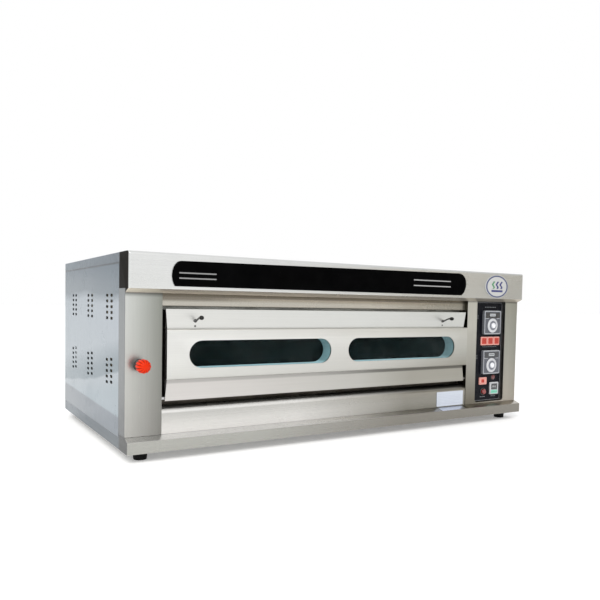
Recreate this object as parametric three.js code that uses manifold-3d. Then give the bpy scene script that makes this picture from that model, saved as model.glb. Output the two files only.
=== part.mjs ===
// Single-deck, three-tray electric deck oven. Millimetres, +Z up, +X to the right, the front faces -Y.
// Inside this file heights are counted from the underside of the base frame and depths from the front
// face of the pillars; the group at the end moves the whole oven onto its feet and centres it.
import * as THREE from "three";
import { mergeVertices } from "three/addons/utils/BufferGeometryUtils.js";
import Module from "manifold-3d";

// ---------------------------------------------------------------- driving dimensions
const W = 1640; // overall width
const D = 837; // pillar face to rear panel
const H = 572; // underside of the base to the top cover
const FOOT_H = 28; // feet under the base
const OVERHANG = 27.7; // canopy and sill stand this far in front of the pillars
const SHEET = 2; // casing sheet
const CANOPY_Z = 468; // lower edge of the canopy's front face
const VISOR_B = 455.3; // lowest line of the sloping visor under it
const BANNER_B = 476.6; // lower edge of the black banner plate
const SIDE_Y = 62; // where the pillars end and the side panels begin
const BASE_H = 35; // height of the base frame
const LEDGE_H = 44; // height of the ledge that the pillars stand on
const OPEN_L = -712, OPEN_R = 530; // door bay between the pillars
const DOOR_L = -701.8, DOOR_R = 519.8, DOOR_B = 141, DOOR_T = 411; // door outline
const HINGE_Y = 12, HINGE_Z = 149; // hinge rod axis
const PAN_Y = -10.6, PAN_B = 203, PAN_T = 352; // raised middle of the door skin
const WIN_B = 236, WIN_T = 318; // window slots in the door
const WINDOWS = [[-632.5, -125.5], [-54, 452]];
const CH_L = -696, CH_R = 514, CH_B = 106, CH_T = 412, CH_Y0 = 49.3, CH_Y1 = 697; // chamber inside
const MOUTH_B = 163, MOUTH_T = 388; // chamber mouth
const HEARTH_T = 165; // top of the hearth plates
const BAY_L = 583, BAY_R = 748, BAY_B = 50, BAY_T = 455; // control bay cut-out
const FASCIA_Y = 16; // front of the fascia plate
const ROD_X = -779, ROD_Z = 250; // damper pull rod
const PORT_Y = 650; // flue port in the chamber's left wall
const KNOB_FRONT = -62; // foremost point
const GLAND_END = 862; // rearmost point
const THERMO_X = 678, THERMO_Z = [371, 209], THERMO_DIAL_DZ = -12.5;
const LAMP_X = [640.3, 676.8, 713.3], LAMP_Z = 295.3;
const SWITCH = [641, 132.5], BUTTON = [647, 88.7], TIMER = [707, 100], GLOW = [703, 145.5];
const GLAND = [700, 90];

// ---------------------------------------------------------------- solids
const wasm = await Module();
wasm.setup();

function solid(geometry) {
  const g = geometry.index ? geometry.toNonIndexed() : geometry.clone();
  g.deleteAttribute("normal");
  g.deleteAttribute("uv");
  const m = mergeVertices(g, 1e-4);
  const triVerts = new Uint32Array(m.index.array);
  const vertProperties = m.attributes.position.array;
  let s = new wasm.Manifold(new wasm.Mesh({ numProp: 3, vertProperties, triVerts }));
  if (s.volume() < 0) {
    for (let i = 0; i < triVerts.length; i += 3)
      [triVerts[i + 1], triVerts[i + 2]] = [triVerts[i + 2], triVerts[i + 1]];
    s = new wasm.Manifold(new wasm.Mesh({ numProp: 3, vertProperties, triVerts }));
  }
  return s;
}
function surface(s) {
  const m = s.getMesh(), n = m.numProp, v = new Float32Array(m.numVert * 3);
  for (let i = 0; i < m.numVert; i++) v.set(m.vertProperties.subarray(i * n, i * n + 3), i * 3);
  const g = new THREE.BufferGeometry()
    .setAttribute("position", new THREE.BufferAttribute(v, 3))
    .setIndex(new THREE.BufferAttribute(new Uint32Array(m.triVerts), 1));
  g.computeVertexNormals();
  return g;
}
const join = (...s) => s.reduce((a, b) => a.add(b));
const cut = (a, ...s) => s.reduce((x, y) => x.subtract(y), a);

function block(x0, x1, y0, y1, z0, z1) {
  return solid(new THREE.BoxGeometry(x1 - x0, y1 - y0, z1 - z0)
    .translate((x0 + x1) / 2, (y0 + y1) / 2, (z0 + z1) / 2));
}
const outline = (points) => new THREE.Shape(points.map((p) => new THREE.Vector2(p[0], p[1])));
function prism(shape, depth) {
  return new THREE.ExtrudeGeometry(shape, { depth, bevelEnabled: false, curveSegments: 8 });
}
// a (y, z) outline run along X
function alongX(points, x0, x1) {
  const m = new THREE.Matrix4().set(0, 0, 1, x0, 1, 0, 0, 0, 0, 1, 0, 0, 0, 0, 0, 1);
  return solid(prism(outline(points), x1 - x0).applyMatrix4(m));
}
// an (x, z) outline run along Y
function alongY(points, y0, y1) {
  const m = new THREE.Matrix4().set(1, 0, 0, 0, 0, 0, -1, y1, 0, 1, 0, 0, 0, 0, 0, 1);
  return solid(prism(outline(points), y1 - y0).applyMatrix4(m));
}
// an (x, y) outline run along Z
function alongZ(points, z0, z1) {
  return solid(prism(outline(points), z1 - z0).translate(0, 0, z0));
}
// rounded rectangle outline; r is one radius or [bottom, top]
function roundRect(x0, x1, z0, z1, r, n = 6) {
  const [rb, rt] = Array.isArray(r) ? r : [r, r];
  const pts = [];
  const arc = (cx, cz, rr, a0) => {
    for (let i = 0; i <= n; i++) {
      const a = a0 + (i / n) * (Math.PI / 2);
      pts.push([cx + rr * Math.cos(a), cz + rr * Math.sin(a)]);
    }
  };
  arc(x1 - rb, z0 + rb, rb, -Math.PI / 2);
  arc(x1 - rt, z1 - rt, rt, 0);
  arc(x0 + rt, z1 - rt, rt, Math.PI / 2);
  arc(x0 + rb, z0 + rb, rb, Math.PI);
  return pts.filter((p, i) => {
    const q = pts[(i + 1) % pts.length];
    return Math.hypot(p[0] - q[0], p[1] - q[1]) > 1e-3;
  });
}
// round bar along an axis between two values
function bar(axis, a, b, r, p, q, segments = 16) {
  const g = new THREE.CylinderGeometry(r, r, b - a, segments);
  if (axis === "y") g.translate(p, (a + b) / 2, q);
  if (axis === "x") g.rotateZ(Math.PI / 2).translate((a + b) / 2, p, q);
  if (axis === "z") g.rotateX(Math.PI / 2).translate(p, q, (a + b) / 2);
  return solid(g);
}
// turned piece about an axis parallel to Y: profile of (radius, y)
function turnedY(profile, x, z, segments = 24) {
  return solid(new THREE.LatheGeometry(profile.map((p) => new THREE.Vector2(p[0], p[1])), segments)
    .translate(x, 0, z));
}
// turned piece about an axis parallel to Z: profile of (radius, z)
function turnedZ(profile, x, y, segments = 24) {
  return solid(new THREE.LatheGeometry(profile.map((p) => new THREE.Vector2(p[0], p[1])), segments)
    .rotateX(Math.PI / 2).translate(x, y, 0));
}
const windowSlot = (i, grow, y0, y1) => {
  const [a, b] = WINDOWS[i];
  const r = (WIN_T - WIN_B) / 2 + grow - 0.01;
  return alongY(roundRect(a - grow, b + grow, WIN_B - grow, WIN_T + grow, r, 7), y0, y1);
};

// ---------------------------------------------------------------- materials
const steel = (c) => new THREE.MeshStandardMaterial({ color: c, roughness: 0.32, metalness: 1 });
const M = {
  stainless: () => steel(0xcfcfcb),
  stainless_warm: () => steel(0xc4beb2),
  galvanised: () => new THREE.MeshStandardMaterial({ color: 0x9a9da0, roughness: 0.5, metalness: 0.9 }),
  black_panel: () => new THREE.MeshStandardMaterial({ color: 0x0c0c0e, roughness: 0.25, metalness: 0 }),
  rubber: () => new THREE.MeshStandardMaterial({ color: 0x141414, roughness: 0.8, metalness: 0 }),
  bakelite: () => new THREE.MeshStandardMaterial({ color: 0x121212, roughness: 0.35, metalness: 0 }),
  grey_plastic: () => new THREE.MeshStandardMaterial({ color: 0xb9bcc0, roughness: 0.45, metalness: 0 }),
  white_plastic: () => new THREE.MeshStandardMaterial({ color: 0xe6e6e6, roughness: 0.4, metalness: 0 }),
  red_lens: () => new THREE.MeshStandardMaterial({ color: 0xd0503a, roughness: 0.25, metalness: 0 }),
  dark_red: () => new THREE.MeshStandardMaterial({ color: 0x7a1c1a, roughness: 0.3, metalness: 0 }),
  pale_green: () => new THREE.MeshStandardMaterial({ color: 0x9fd8c4, roughness: 0.4, metalness: 0 }),
  orange: () => new THREE.MeshStandardMaterial({ color: 0xd8431f, roughness: 0.35, metalness: 0 }),
  glass: () => new THREE.MeshStandardMaterial({ color: 0x26302f, roughness: 0.05, metalness: 0 }),
  iron: () => new THREE.MeshStandardMaterial({ color: 0x3b3a38, roughness: 0.7, metalness: 0.6 }),
  heater: () => new THREE.MeshStandardMaterial({ color: 0x57524c, roughness: 0.6, metalness: 0.7 }),
  wool: () => new THREE.MeshStandardMaterial({ color: 0xcdbf9a, roughness: 0.95, metalness: 0 }),
};

const oven = new THREE.Group();
oven.name = "deck_oven";
const groups = {};
function part(body, name, s, material) {
  const mesh = new THREE.Mesh(surface(s), M[material]());
  mesh.name = name;
  if (!groups[body]) {
    groups[body] = new THREE.Group();
    groups[body].name = body + "_body";
    oven.add(groups[body]);
  }
  groups[body].add(mesh);
}

const X0 = -W / 2, X1 = W / 2, G = 0.3, T = SHEET;

// ---------------------------------------------------------------- base and feet
{
  const sill = alongX([
    [-OVERHANG, 0], [60, 0], [60, T], [-OVERHANG + T, T], [-OVERHANG + T, BASE_H - 1.4], [0.4, LEDGE_H - T],
    [14, LEDGE_H - T], [14, LEDGE_H], [0, LEDGE_H], [-OVERHANG, BASE_H],
  ], X0, X1);
  const floor = block(X0 + 0.6, X1 - 0.6, 58.5, D - 0.4, 0.1, T - 0.1);
  const cheek = [
    [-OVERHANG + 0.4, 0.3], [D - 0.4, 0.3], [D - 0.4, BASE_H], [SIDE_Y, BASE_H], [SIDE_Y, LEDGE_H - 0.3],
    [0.2, LEDGE_H - 0.3], [-OVERHANG + 0.4, BASE_H - 0.3],
  ];
  const left = alongX(cheek, X0 + 0.3, X0 + T), right = alongX(cheek, X1 - T, X1 - 0.3);
  const back = block(X0 + 0.5, X1 - 0.5, D - T, D, 0.2, BASE_H - 0.2);
  part("casing", "base_frame", join(sill, floor, left, right, back), "stainless_warm");
}
const FOOT = [[0, -FOOT_H], [18.5, -FOOT_H], [19.5, -FOOT_H + 1.5], [21.5, -6], [23, -5], [23, -G], [0, -G]];
for (const [name, x, y] of [
  ["foot_front_left", -765, 32], ["foot_front_right", 765, 32],
  ["foot_rear_left", -765, 792], ["foot_rear_right", 765, 792],
]) part("casing", name, turnedZ(FOOT, x, y, 20), "rubber");

// ---------------------------------------------------------------- casing panels
part("casing", "side_panel_left", block(X0, X0 + T, SIDE_Y + G, D - G, BASE_H + G, 543 - G), "stainless");
part("casing", "side_panel_right", block(X1 - T, X1, SIDE_Y + G, D - G, BASE_H + G, 543 - G), "stainless");
part("casing", "rear_panel", cut(
  block(X0 + T + G, X1 - T - G, D - T - 0.5, D - 0.5, BASE_H + G, 543 - G),
  block(-811, -777, D - 10, D + 10, 209, 291),
  bar("y", D - 10, D + 10, 10.6, GLAND[0], GLAND[1], 20),
), "galvanised");
part("casing", "top_cover", cut(
  block(X0, X1, SIDE_Y + G, D, 543, H),
  block(X0 + T, X1 - T, SIDE_Y - 5, D - T, 535, H - T),
), "stainless");
{
  // front corners rounded in plan, top edge rounded, and a sloping visor under the front face that closes
  // over the tops of the pillars
  const R = 9, E = 11, n = 5;
  const plan = (x0, x1, y0, y1, r) => {
    const p = [];
    for (let i = 0; i <= n; i++) {
      const a = Math.PI + (i / n) * (Math.PI / 2);
      p.push([x0 + r + r * Math.cos(a), y0 + r + r * Math.sin(a)]);
    }
    for (let i = 0; i <= n; i++) {
      const a = 1.5 * Math.PI + (i / n) * (Math.PI / 2);
      p.push([x1 - r + r * Math.cos(a), y0 + r + r * Math.sin(a)]);
    }
    return [...p, [x1, y1], [x0, y1]];
  };
  const slope = (CANOPY_Z - VISOR_B) / (OVERHANG - 0.4);
  const profile = (o, back) => {
    const r = E - o, y0 = -OVERHANG + o, t = H - o, lift = o * Math.hypot(1, slope);
    const under = (y) => CANOPY_Z - slope * (y + OVERHANG) + lift;
    const p = [];
    for (let i = 0; i <= n; i++) {
      const a = Math.PI / 2 + (i / n) * (Math.PI / 2);
      p.push([y0 + r + r * Math.cos(a), t - r + r * Math.sin(a)]);
    }
    return [...p, [y0, under(y0)], [-0.4 - o, under(-0.4 - o)], [-0.4 - o, CANOPY_Z + o], [back, CANOPY_Z + o], [back, t]];
  };
  part("casing", "canopy", cut(
    alongZ(plan(X0, X1, -OVERHANG, SIDE_Y, R), VISOR_B - 5, H + 5).intersect(alongX(profile(0, SIDE_Y + 5), X0 - 5, X1 + 5)),
    alongZ(plan(X0 + T, X1 - T, -OVERHANG + T, SIDE_Y + 5, R - T), VISOR_B - 5, H + 5)
      .intersect(alongX(profile(T, SIDE_Y + 9), X0 - 5, X1 + 5)),
  ), "stainless");
}
{
  // rounded ends cut off square at the bottom; the upper edge climbs a little to the right
  const end = (cx, cz, a, b, t0, t1) => Array.from({ length: 11 }, (_, i) => {
    const t = t0 + ((t1 - t0) * i) / 10;
    return [cx + a * Math.cos(t), cz + b * Math.sin(t)];
  });
  const dip = (cz, b) => Math.asin((BANNER_B - cz) / b);
  part("casing", "banner_plate", alongY([
    ...end(445, 523, 38.5, 50, dip(523, 50), 0),
    ...end(445, 523, 38.5, 37, 0, Math.PI / 2).slice(1),
    ...end(-667.7, 508, 27, 42, Math.PI / 2, Math.PI - dip(508, 42)),
  ], -OVERHANG - 4, -OVERHANG - G), "black_panel");
}
part("casing", "badge", turnedY([
  [0, -OVERHANG - 3.6], [38, -OVERHANG - 3.2], [45, -OVERHANG - 2.4], [46, -OVERHANG - 1.4], [46, -OVERHANG - G],
  [0, -OVERHANG - G],
], 0, 0, 48).scale([66 / 46, 1, 1]).translate([658, 0, 516]), "white_plastic");

// ---------------------------------------------------------------- pillars
const PILLAR_B = LEDGE_H + G, PILLAR_T = CANOPY_Z - G;
part("casing", "left_pillar", cut(
  alongZ([
    [X0, 0], [OPEN_L, 0], [OPEN_L, 45], [OPEN_L - T, 45], [OPEN_L - T, T], [X0 + T, T], [X0 + T, SIDE_Y], [X0, SIDE_Y],
  ], PILLAR_B, PILLAR_T),
  bar("y", -5, 10, 8, ROD_X, ROD_Z, 20),
  bar("x", OPEN_L - 6, OPEN_L + 4, 5.5, HINGE_Y, HINGE_Z, 20),
), "stainless_warm");
{
  const column = alongZ([
    [OPEN_R, 0], [X1, 0], [X1, SIDE_Y], [X1 - T, SIDE_Y], [X1 - T, T], [OPEN_R + T, T], [OPEN_R + T, 45], [OPEN_R, 45],
  ], PILLAR_B, PILLAR_T);
  const bay = (g, y0, y1) =>
    alongY(roundRect(BAY_L - g, BAY_R + g, BAY_B - g, BAY_T + g, [12 + g, 4 + g], 5), y0, y1);
  part("casing", "control_column", cut(
    join(column, bay(1.8, 0.4, FASCIA_Y + 5)),
    bay(0, -5, FASCIA_Y + 10),
    bar("x", OPEN_R - 4, OPEN_R + 6, 5.5, HINGE_Y, HINGE_Z, 20),
  ), "stainless_warm");
}

// ---------------------------------------------------------------- controls
part("casing", "fascia_plate", cut(
  alongY(roundRect(BAY_L + 0.4, BAY_R - 0.4, BAY_B + 0.4, BAY_T - 0.4, [11.6, 3.6], 5), FASCIA_Y, FASCIA_Y + 3),
  ...THERMO_Z.map((z) => block(THERMO_X - 45, THERMO_X + 45, 10, 30, z - 45, z + 45)),
  ...LAMP_X.map((x) => block(x - 14.6, x + 14.6, 10, 30, LAMP_Z - 14.6, LAMP_Z + 14.6)),
  block(SWITCH[0] - 18.6, SWITCH[0] + 18.6, 10, 30, SWITCH[1] - 11.6, SWITCH[1] + 11.6),
  block(TIMER[0] - 22.6, TIMER[0] + 22.6, 10, 30, TIMER[1] - 22.6, TIMER[1] + 22.6),
  bar("y", 10, 30, 11.2, BUTTON[0], BUTTON[1], 20),
  bar("y", 10, 30, 8.4, GLOW[0], GLOW[1], 16),
), "black_panel");
const BEZEL_BACK = FASCIA_Y - G;
THERMO_Z.forEach((z, i) => {
  const tag = i ? "lower" : "upper";
  part("casing", "thermostat_" + tag, join(
    alongY(roundRect(THERMO_X - 48, THERMO_X + 48, z - 48, z + 48, 5, 4), 4, BEZEL_BACK),
    block(THERMO_X - 44, THERMO_X + 44, BEZEL_BACK - 0.5, 84, z - 44, z + 44),
  ), "grey_plastic");
  const dz = z + THERMO_DIAL_DZ;
  part("dial_" + tag, "dial_" + tag, turnedY([
    [0, -5], [8.8, -5], [10.2, -4], [11, -0.4], [25, 0.6], [28.6, 1.6], [29, 2.4], [29, 3.7], [0, 3.7],
  ], THERMO_X, dz, 28), "white_plastic");
});
LAMP_X.forEach((x, i) => part("casing", "phase_lamp_" + (i + 1), join(
  alongY(roundRect(x - 17.2, x + 17.2, LAMP_Z - 17.2, LAMP_Z + 17.2, 3, 3), 11, BEZEL_BACK),
  block(x - 14, x + 14, BEZEL_BACK - 0.5, 46, LAMP_Z - 14, LAMP_Z + 14),
), "red_lens"));
part("casing", "glow_lamp", turnedY([
  [0, 11], [6, 11.4], [9, 12.8], [10, 14.4], [10, BEZEL_BACK], [8, BEZEL_BACK], [8, 42], [0, 42],
], GLOW[0], GLOW[1], 20), "dark_red");
part("casing", "switch_housing", cut(join(
  alongY(roundRect(SWITCH[0] - 21, SWITCH[0] + 21, SWITCH[1] - 14.5, SWITCH[1] + 14.5, 2.5, 3), 11, BEZEL_BACK),
  block(SWITCH[0] - 18.2, SWITCH[0] + 18.2, BEZEL_BACK - 0.5, 42, SWITCH[1] - 11.2, SWITCH[1] + 11.2),
), block(SWITCH[0] - 17.3, SWITCH[0] + 17.3, 5, 22, SWITCH[1] - 10, SWITCH[1] + 10)), "red_lens");
{
  // rocker, stored at its off end: tilted 8 degrees about its own vertical pin at y = 17
  const t = (-8 * Math.PI) / 180, c = Math.cos(t), s = Math.sin(t);
  const rocker = [[-16, -6.6], [0, -4.6], [16, -6.6], [14.4, 1], [5, 3.2], [-5, 3.2], [-14.4, 1]]
    .map(([u, v]) => [SWITCH[0] + u * c - v * s, 17 + u * s + v * c]);
  part("switch_rocker", "power_rocker", alongZ(rocker, SWITCH[1] - 9.6, SWITCH[1] + 9.6), "red_lens");
}
part("push_button", "push_button", turnedY([
  [0, 7], [9, 7.2], [10.6, 8.6], [10.6, 19.4], [12.8, 19.4], [12.8, 21.6], [4, 21.6], [4, 34], [0, 34],
], BUTTON[0], BUTTON[1], 24), "dark_red");
part("casing", "timer_body", cut(join(
  alongY(roundRect(TIMER[0] - 25, TIMER[0] + 25, TIMER[1] - 25, TIMER[1] + 25, 3, 3), 10, BEZEL_BACK),
  block(TIMER[0] - 22, TIMER[0] + 22, BEZEL_BACK - 0.5, 76, TIMER[1] - 22, TIMER[1] + 22),
), block(TIMER[0] - 19, TIMER[0] + 19, 5, 14, TIMER[1] - 21, TIMER[1] - 7.4)), "white_plastic");
part("timer_key", "timer_key",
  alongY(roundRect(TIMER[0] - 18.6, TIMER[0] + 18.6, TIMER[1] - 20.6, TIMER[1] - 7.8, 1.2, 2), 9, 12.4), "pale_green");

// ---------------------------------------------------------------- front rails and rating plate
part("casing", "upper_front_rail", alongX([
  [15, 418], [46, 418], [46, 420], [17, 420], [17, PILLAR_T], [15, PILLAR_T],
], OPEN_L + G, OPEN_R - G), "stainless_warm");
part("casing", "lower_front_panel", alongX([
  [2, PILLAR_B], [4, PILLAR_B], [4, 106.4], [4.9, 109.6], [7, 112.2], [23, 125], [46, 125], [46, 127], [22.2, 127],
  [5.2, 113.4], [3, 110.4], [2, 107],
], OPEN_L + G, OPEN_R - G), "stainless");
part("casing", "rating_plate", alongY(roundRect(377, 517, 47, 103, 3, 3), 0.4, 1.7), "white_plastic");

// ---------------------------------------------------------------- baking chamber
const ELEMENT_Y = [[100, 175, 250, 325], [400, 475, 550, 625]];
const TOP_EL_Z = 398, BOT_EL_Z = 127;
const feedthroughs = (grow) => ELEMENT_Y.flatMap((ys) => [ys[0], ys[3]].flatMap((y) =>
  [TOP_EL_Z, BOT_EL_Z].map((z) => bar("x", CH_R - 2, 600, 4 + grow, y, z, 6))));
const PROBES = [["probe_upper", 362, 379], ["probe_lower", 362, 145]];
const probeHoles = (grow) => PROBES.map(([, y, z]) => bar("x", CH_R - 2, 600, 3 + grow, y, z, 6));
const LAMP = [-91, 345];
part("casing", "chamber_liner", cut(
  join(
    cut(
      block(CH_L - T, CH_R + T, CH_Y0, CH_Y1 + T, CH_B - T, CH_T + T),
      block(CH_L, CH_R, CH_Y0 - 5, CH_Y1, CH_B, CH_T),
    ),
    block(CH_L - 1, CH_R + 1, CH_Y1 - 22, CH_Y1 + 1, HEARTH_T - 8, HEARTH_T - 5.5),
  ),
  bar("x", CH_L - 5, CH_L + 5, 30, PORT_Y, ROD_Z, 24),
  bar("y", CH_Y1 - 5, CH_Y1 + 5, 17, LAMP[0], LAMP[1], 20),
  ...feedthroughs(1.2),
  ...probeHoles(0.8),
), "galvanised");
part("casing", "chamber_front_frame", join(
  cut(
    block(OPEN_L + G, OPEN_R - G, 47, 49, CH_B - T, PILLAR_T),
    block(CH_L + 2, CH_R - 2, 40, 60, MOUTH_B, MOUTH_T),
  ),
  block(CH_L + 3, CH_R - 3, 48, 68, MOUTH_B - 6, MOUTH_B - 3.5),
), "stainless_warm");
{
  const w = (CH_R - CH_L - 1.6) / 3;
  ["left", "middle", "right"].forEach((n, i) => {
    const a = CH_L + 0.5 + i * (w + G);
    part("casing", "hearth_plate_" + n, block(a, a + w, 52, CH_Y1 - 3, HEARTH_T - 5, HEARTH_T), "iron");
  });
}
// heating elements: four straight legs joined by three half-round bends
function element(ys, z) {
  const r = 4, left = -640, right = 455, end = 590;
  const leg = (a, b, y) => bar("x", a, b, r, y, z, 6);
  const bend = (x, ya, yb, dir) => {
    const c = (ya + yb) / 2, R = Math.abs(yb - ya) / 2;
    class Arc extends THREE.Curve {
      getPoint(t, p = new THREE.Vector3()) {
        const a = -Math.PI / 2 - 0.02 + t * (Math.PI + 0.04);
        return p.set(x + dir * R * Math.cos(a), c + R * Math.sin(a), z);
      }
    }
    const s = [];
    for (let i = 0; i < 6; i++) {
      const a = (i / 6) * 2 * Math.PI;
      s.push([r * Math.cos(a), r * Math.sin(a)]);
    }
    return solid(new THREE.ExtrudeGeometry(outline(s), { steps: 5, bevelEnabled: false, extrudePath: new Arc() }));
  };
  return join(
    leg(left, end, ys[0]), bend(left, ys[0], ys[1], -1), leg(left, right, ys[1]), bend(right, ys[1], ys[2], 1),
    leg(left, right, ys[2]), bend(left, ys[2], ys[3], -1), leg(left, end, ys[3]),
  );
}
part("casing", "top_element_front", element(ELEMENT_Y[0], TOP_EL_Z), "heater");
part("casing", "top_element_rear", element(ELEMENT_Y[1], TOP_EL_Z), "heater");
part("casing", "bottom_element_front", element(ELEMENT_Y[0], BOT_EL_Z), "heater");
part("casing", "bottom_element_rear", element(ELEMENT_Y[1], BOT_EL_Z), "heater");
for (const [name, y, z] of PROBES)
  part("casing", name, join(bar("x", 430, 592, 3, y, z, 10), bar("x", 575.5, 588, 8, y, z, 6)), "galvanised");
part("casing", "chamber_lamp", turnedY([
  [0, 672], [12, 673.5], [20, 680], [23, 690], [23, CH_Y1 - G], [16, CH_Y1 - G], [16, 770], [0, 770],
], LAMP[0], LAMP[1], 24), "glass");
part("casing", "insulation_jacket", cut(
  block(CH_L - 60, CH_R + 60, CH_Y0, CH_Y1 + 60, CH_B - T, 466),
  block(CH_L - T - G, CH_R + T + G, CH_Y0 - 5, CH_Y1 + T + G, CH_B - T - 5, CH_T + T + G),
  bar("x", CH_L - 70, CH_L, 33.5, PORT_Y, ROD_Z, 24),
  bar("y", CH_Y1, 770, 18, LAMP[0], LAMP[1], 20),
  ...feedthroughs(1.6),
  ...probeHoles(1.2),
), "wool");
part("casing", "insulation_floor",
  block(CH_L - 60, CH_R + 60, CH_Y0, CH_Y1 + 60, T + G, CH_B - T - G), "wool");

// ---------------------------------------------------------------- flue and damper
{
  const shell = cut(
    block(-814, -773, 530, D - T - 0.8, 206, 294),
    block(-812.5, -774.5, 531.5, D + 5, 207.5, 292.5),
    bar("y", 525, 535, 5, ROD_X, ROD_Z, 16),
  );
  const stub = bar("x", -774, CH_L - T - G, 32, PORT_Y, ROD_Z, 28);
  part("casing", "flue_duct", cut(join(shell, stub), bar("x", -776, CH_L, 30, PORT_Y, ROD_Z, 28)), "galvanised");
}
{
  const lobes = [];
  for (let i = 0; i < 48; i++) {
    const a = (i / 48) * 2 * Math.PI, r = 21 + 1.4 * Math.cos(12 * a);
    lobes.push([ROD_X + r * Math.cos(a), ROD_Z + r * Math.sin(a)]);
  }
  part("damper", "damper_knob", join(
    alongY(lobes, -57, -22),
    turnedY([[0, KNOB_FRONT], [12, KNOB_FRONT], [17, -60], [19.6, -56.5], [0, -56.5]], ROD_X, ROD_Z, 24),
    turnedY([[0, -22.5], [18, -22.5], [17, -12], [13, -9], [13, -2], [0, -2]], ROD_X, ROD_Z, 24),
  ), "orange");
  part("damper", "damper_rod", bar("y", -1.7, 611.7, 4, ROD_X, ROD_Z, 16), "galvanised");
  part("damper", "damper_gate", block(-778.5, -775.5, 612, 688, 212, 288), "galvanised");
}

// ---------------------------------------------------------------- electrical compartment
part("casing", "contactor", join(
  block(612, 690, 260, 350, T + G, 52), block(620, 682, 268, 342, 51, 78), block(634, 668, 285, 325, 77, 90),
), "grey_plastic");
part("casing", "cable_gland", turnedY([
  [0, 826], [15, 826], [15, D - T - 0.8], [10, D - T - 0.8], [10, D - G + 0.1], [16, D - G + 0.1], [16, 848], [13, 851],
  [12, GLAND_END], [0, GLAND_END],
], GLAND[0], GLAND[1], 20), "bakelite");

// ---------------------------------------------------------------- door
{
  // front surface of the upper and lower strips, which lean a little
  const lean = (z) => (z > 280 ? 0 + (5 * (DOOR_T - z)) / (DOOR_T - PAN_T) : 5.6 - (2 * (PAN_B - z)) / (PAN_B - DOOR_B));
  const strip = (pts, back) => {
    const g = prism(outline(pts), back);
    g.applyMatrix4(new THREE.Matrix4().set(1, 0, 0, 0, 0, 0, -1, back, 0, 1, 0, 0, 0, 0, 0, 1));
    const p = g.attributes.position;
    for (let i = 0; i < p.count; i++) p.setY(i, p.getY(i) + lean(p.getZ(i)));
    return solid(g);
  };
  const top = strip([[-695.4, PAN_T - 1.4], [513.4, PAN_T - 1.4], [DOOR_R, DOOR_T], [DOOR_L, DOOR_T]], 1.5);
  const bottom = strip([[DOOR_L, DOOR_B], [DOOR_R, DOOR_B], [513.3, PAN_B + 1.4], [-695.3, PAN_B + 1.4]], 1.5);
  const panProfile = (o) => {
    const pts = [], r = 6 - o, y0 = PAN_Y + o, b = PAN_B + o, t = PAN_T - o, n = 4;
    for (let i = 0; i <= n; i++) {
      const a = -Math.PI / 2 - (i / n) * (Math.PI / 2);
      pts.push([y0 + r + r * Math.cos(a), b + r + r * Math.sin(a)]);
    }
    for (let i = 0; i <= n; i++) {
      const a = Math.PI - (i / n) * (Math.PI / 2);
      pts.push([y0 + r + r * Math.cos(a), t - r + r * Math.sin(a)]);
    }
    return [...pts, [8 + o, t], [8 + o, b]];
  };
  const pan = cut(alongX(panProfile(0), -701, 519), alongX(panProfile(1.5), -699.5, 517.5));
  part("door", "door_skin", cut(join(pan, top, bottom), windowSlot(0, 0, -15, 20), windowSlot(1, 0, -15, 20)), "stainless");

  const L = -700, R = 518, F = 8.7, B = 40.5;
  const inner = join(
    cut(block(L, R, F, B, 141.6, 409), block(L + 1.5, R - 1.5, F - 5, B - 1.5, 143.1, 407.5)),
    windowSlot(0, 2, -4.4, B - 0.5), windowSlot(1, 2, -4.4, B - 0.5),
  );
  part("door", "door_inner_panel", cut(
    inner, windowSlot(0, 0.5, -10, B + 5), windowSlot(1, 0.5, -10, B + 5),
    bar("x", L - 5, L + 5, 5.3, HINGE_Y, HINGE_Z, 20), bar("x", R - 5, R + 5, 5.3, HINGE_Y, HINGE_Z, 20),
  ), "stainless");
  part("door", "door_insulation", cut(
    block(L + 1.8, R - 1.8, 9, B - 1.8, 156, 407.2), windowSlot(0, 2.5, 0, B + 5), windowSlot(1, 2.5, 0, B + 5),
  ), "wool");
  WINDOWS.forEach(([a, b], i) => part("door", "glass_outer_" + (i ? "right" : "left"),
    alongY(roundRect(a - 14, b + 14, WIN_B - 14, WIN_T + 14, 8, 3), PAN_Y + 1.8, PAN_Y + 5.8), "glass"));
  part("door", "glass_inner", block(WINDOWS[0][0] - 14, WINDOWS[1][1] + 14, B + G, B + 4.3, WIN_B - 14, WIN_T + 14), "glass");
  part("door", "hinge_rod", bar("x", OPEN_L - 7, OPEN_R + 7, 5, HINGE_Y, HINGE_Z, 20), "galvanised");
  for (const [name, x] of [["door_handle_left", -610], ["door_handle_right", 398]]) part("door", name, turnedY([
    [0, -54], [4, -53.6], [6.2, -51.4], [7, -46], [6.2, -40], [4, -36.5], [3, -34], [3, -5], [5.4, -1.6], [5.4, 1.2], [0, 1.2],
  ], x, 382, 20), "bakelite");
}

// the oven stands on its feet, centred over the origin
oven.position.set(0, -(KNOB_FRONT + GLAND_END) / 2, FOOT_H);

export default oven;
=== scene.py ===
# Visual model of a single-deck bakery oven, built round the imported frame. Lengths in the helpers are
# millimetres in the part's own base coordinates: heights from the underside of the base frame, depths
# from the front face of the pillars. at() turns them into the row frame in metres.
import math

import bmesh
import bpy
from mathutils import Matrix, Vector


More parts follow.
